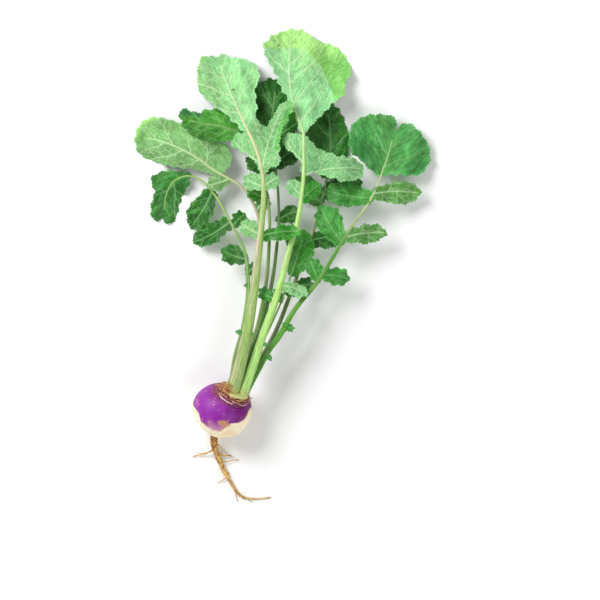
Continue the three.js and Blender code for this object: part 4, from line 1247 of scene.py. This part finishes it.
def blade_material(name, vein_colour, net_power, wrinkle_shade, roughness, depth, gloss):
    nodes = Nodes(name)
    coarse, fine = nodes.net(3.4, 0.13), nodes.net(1.3, 0.16)
    net = nodes.maths("MAXIMUM", nodes.maths("MULTIPLY", coarse, 0.8), nodes.maths("MULTIPLY", fine, 0.45))
    mottle, patches = nodes.noise(1.1, 4.0), nodes.noise(7.0)
    wrinkles = nodes.streaks((3.0, 2.2, 1.0))
    tone = nodes.shaded(nodes.layer("tone", "Color"), mottle, 0.3, 0.75, 0.84, 1.14)
    # Painted shade and light on the fine wrinkles: the tone darkens and lightens with the same streaks that
    # raise the bump.
    tone = nodes.shaded(tone, wrinkles, 0.34, 0.66, 1 - wrinkle_shade, 1 + 0.8 * wrinkle_shade)
    tone = nodes.tinted(tone, patches, 0.4, 0.75, 0.1, srgb(120, 180, 40))
    for lines, power in ((net, net_power), (nodes.layer("vein"), VEIN_POWER)):
        tone = nodes.mix(nodes.maths("MULTIPLY", lines, power), tone, (*vein_colour, 1.0))
    height = nodes.total(nodes.total(nodes.maths("MULTIPLY", net, depth), mottle, 0.35), wrinkles, 1.4)
    return nodes.finish(
        Base_Color=tone, Roughness=nodes.step(patches, 0.3, 0.7, roughness - 0.07, roughness + 0.07),
        Normal=nodes.bump(height, 0.6, 0.25), Specular_IOR_Level=gloss,
        Subsurface_Weight=0.08, Subsurface_Scale=0.0006, Subsurface_Radius=(0.6, 1.0, 0.3),
    )


def stalk_material():
    nodes = Nodes("leaf_stalk")
    strands, specks = nodes.streaks((8.8, 8.8, 0.11)), nodes.noise(0.9)
    tone = nodes.shaded(nodes.layer("tone", "Color"), strands, 0.34, 0.66, 0.66, 1.26)
    return nodes.finish(
        Base_Color=nodes.tinted(tone, specks, 0.62, 0.75, 0.3, srgb(112, 150, 70)),
        Roughness=nodes.step(specks, 0.3, 0.7, 0.36, 0.5), Specular_IOR_Level=0.5,
        Normal=nodes.bump(nodes.total(strands, specks, 0.3), 0.5, 0.2),
        Subsurface_Weight=0.1, Subsurface_Scale=0.001, Subsurface_Radius=(0.8, 1.0, 0.4),
    )


def skin_material():
    nodes = Nodes("turnip_skin")
    mottle, specks = nodes.noise(1.6, 5.0, 0.6), nodes.noise(0.55, 2.0)
    tone = nodes.shaded(nodes.layer("tone", "Color"), mottle, 0.25, 0.75, 0.84, 1.16)
    height = nodes.total(nodes.maths("MULTIPLY", nodes.streaks((1.6, 1.6, 1.4), 5.0), 0.7), mottle, 0.5)
    return nodes.finish(
        Base_Color=nodes.tinted(tone, specks, 0.66, 0.76, 0.4, srgb(206, 160, 150)),
        Roughness=nodes.total(nodes.step(mottle, 0.3, 0.7, 0.4, 0.56), nodes.layer("vein"), 0.25),
        Normal=nodes.bump(height, 0.45, 0.22), Specular_IOR_Level=0.26, Coat_Weight=0.05, Coat_Roughness=0.3,
        Subsurface_Weight=0.12, Subsurface_Scale=0.002, Subsurface_Radius=(1.0, 0.5, 0.6),
    )


def root_material():
    nodes = Nodes("turnip_root")
    lines, earth = nodes.streaks((2.6, 2.6, 0.35)), nodes.noise(1.2, 4.0)
    tone = nodes.tinted(nodes.layer("tone", "Color"), lines, 0.47, 0.62, 0.75, ROOT_BROWN)
    return nodes.finish(
        Base_Color=nodes.tinted(tone, earth, 0.58, 0.7, 0.5, srgb(96, 62, 30)), Roughness=0.72,
        Normal=nodes.bump(nodes.total(lines, earth, 0.5), 0.7, 0.3), Specular_IOR_Level=0.35,
    )


def floor_material():
    nodes = Nodes("floor_pale")
    tone = nodes.mix(nodes.noise(3.0, 2.0), (0.9, 0.9, 0.9, 1.0), (0.93, 0.93, 0.93, 1.0))
    return nodes.finish(Base_Color=tone, Roughness=0.9, Specular_IOR_Level=0.1)


# Camera, light and floor

VIEW_CENTRE = (0.0624, 0.088, 0.025)
VIEW_WIDTH = 0.48
LENS = 200.0
SENSOR = 36.0
FLOOR_HALF = 3.0
FLOOR_HEIGHT = -0.0002
FLOOR_CORNERS = ((-1, -1), (1, -1), (1, 1), (-1, 1))
SKY_STRENGTH = 0.42


def add_camera():
    camera = linked("camera", bpy.data.cameras.new("camera"))
    camera.data.lens = LENS
    camera.data.sensor_width = SENSOR
    camera.data.clip_end = 20.0
    camera.location = (VIEW_CENTRE[0], VIEW_CENTRE[1], VIEW_CENTRE[2] + VIEW_WIDTH * LENS / SENSOR)
    bpy.context.scene.camera = camera


def add_light(name, place, size, energy):
    lamp = linked(name, bpy.data.lights.new(name, "AREA"))
    lamp.data.size = size
    lamp.data.energy = energy
    lamp.location = place
    lamp.rotation_euler = (Vector(VIEW_CENTRE) - Vector(place)).to_track_quat("-Z", "Y").to_euler()


def add_stage():
    mesh = bpy.data.meshes.new("floor")
    corners = [(x * FLOOR_HALF, y * FLOOR_HALF, FLOOR_HEIGHT) for x, y in FLOOR_CORNERS]
    mesh.from_pydata(corners, [], [(0, 1, 2, 3)])
    mesh.materials.append(floor_material())
    floor = linked("floor", mesh)
    world = bpy.data.worlds.new("studio")
    world.use_nodes = True
    background = world.node_tree.nodes["Background"]
    background.inputs["Color"].default_value = (1, 1, 1, 1)
    background.inputs["Strength"].default_value = SKY_STRENGTH
    bpy.context.scene.world = world
    bpy.context.scene.view_settings.view_transform = "Standard"


add_camera()
add_stage()
add_light("key_light", (-0.95, 0.95, 1.3), 0.9, 32.0)
add_light("fill_light", (0.8, -1.0, 1.3), 1.2, 12.0)

root = storage_root([skin_material(), root_material()])
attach(root, "root")
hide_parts("storage_root")

upper_side = blade_material(
    "leaf_upper_side", srgb(132, 190, 118),
    net_power=0.12, wrinkle_shade=0.32, roughness=0.46, depth=-0.7, gloss=0.24,
)
under_side = blade_material(
    "leaf_under_side", srgb(204, 232, 182),
    net_power=0.22, wrinkle_shade=0.24, roughness=0.6, depth=1.0, gloss=0.3,
)
leaf_stalk = stalk_material()
for leaf in LEAVES:
    piece = leaf_piece(leaf, [upper_side, under_side, leaf_stalk])
    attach(piece, "root")
    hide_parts(leaf["name"])
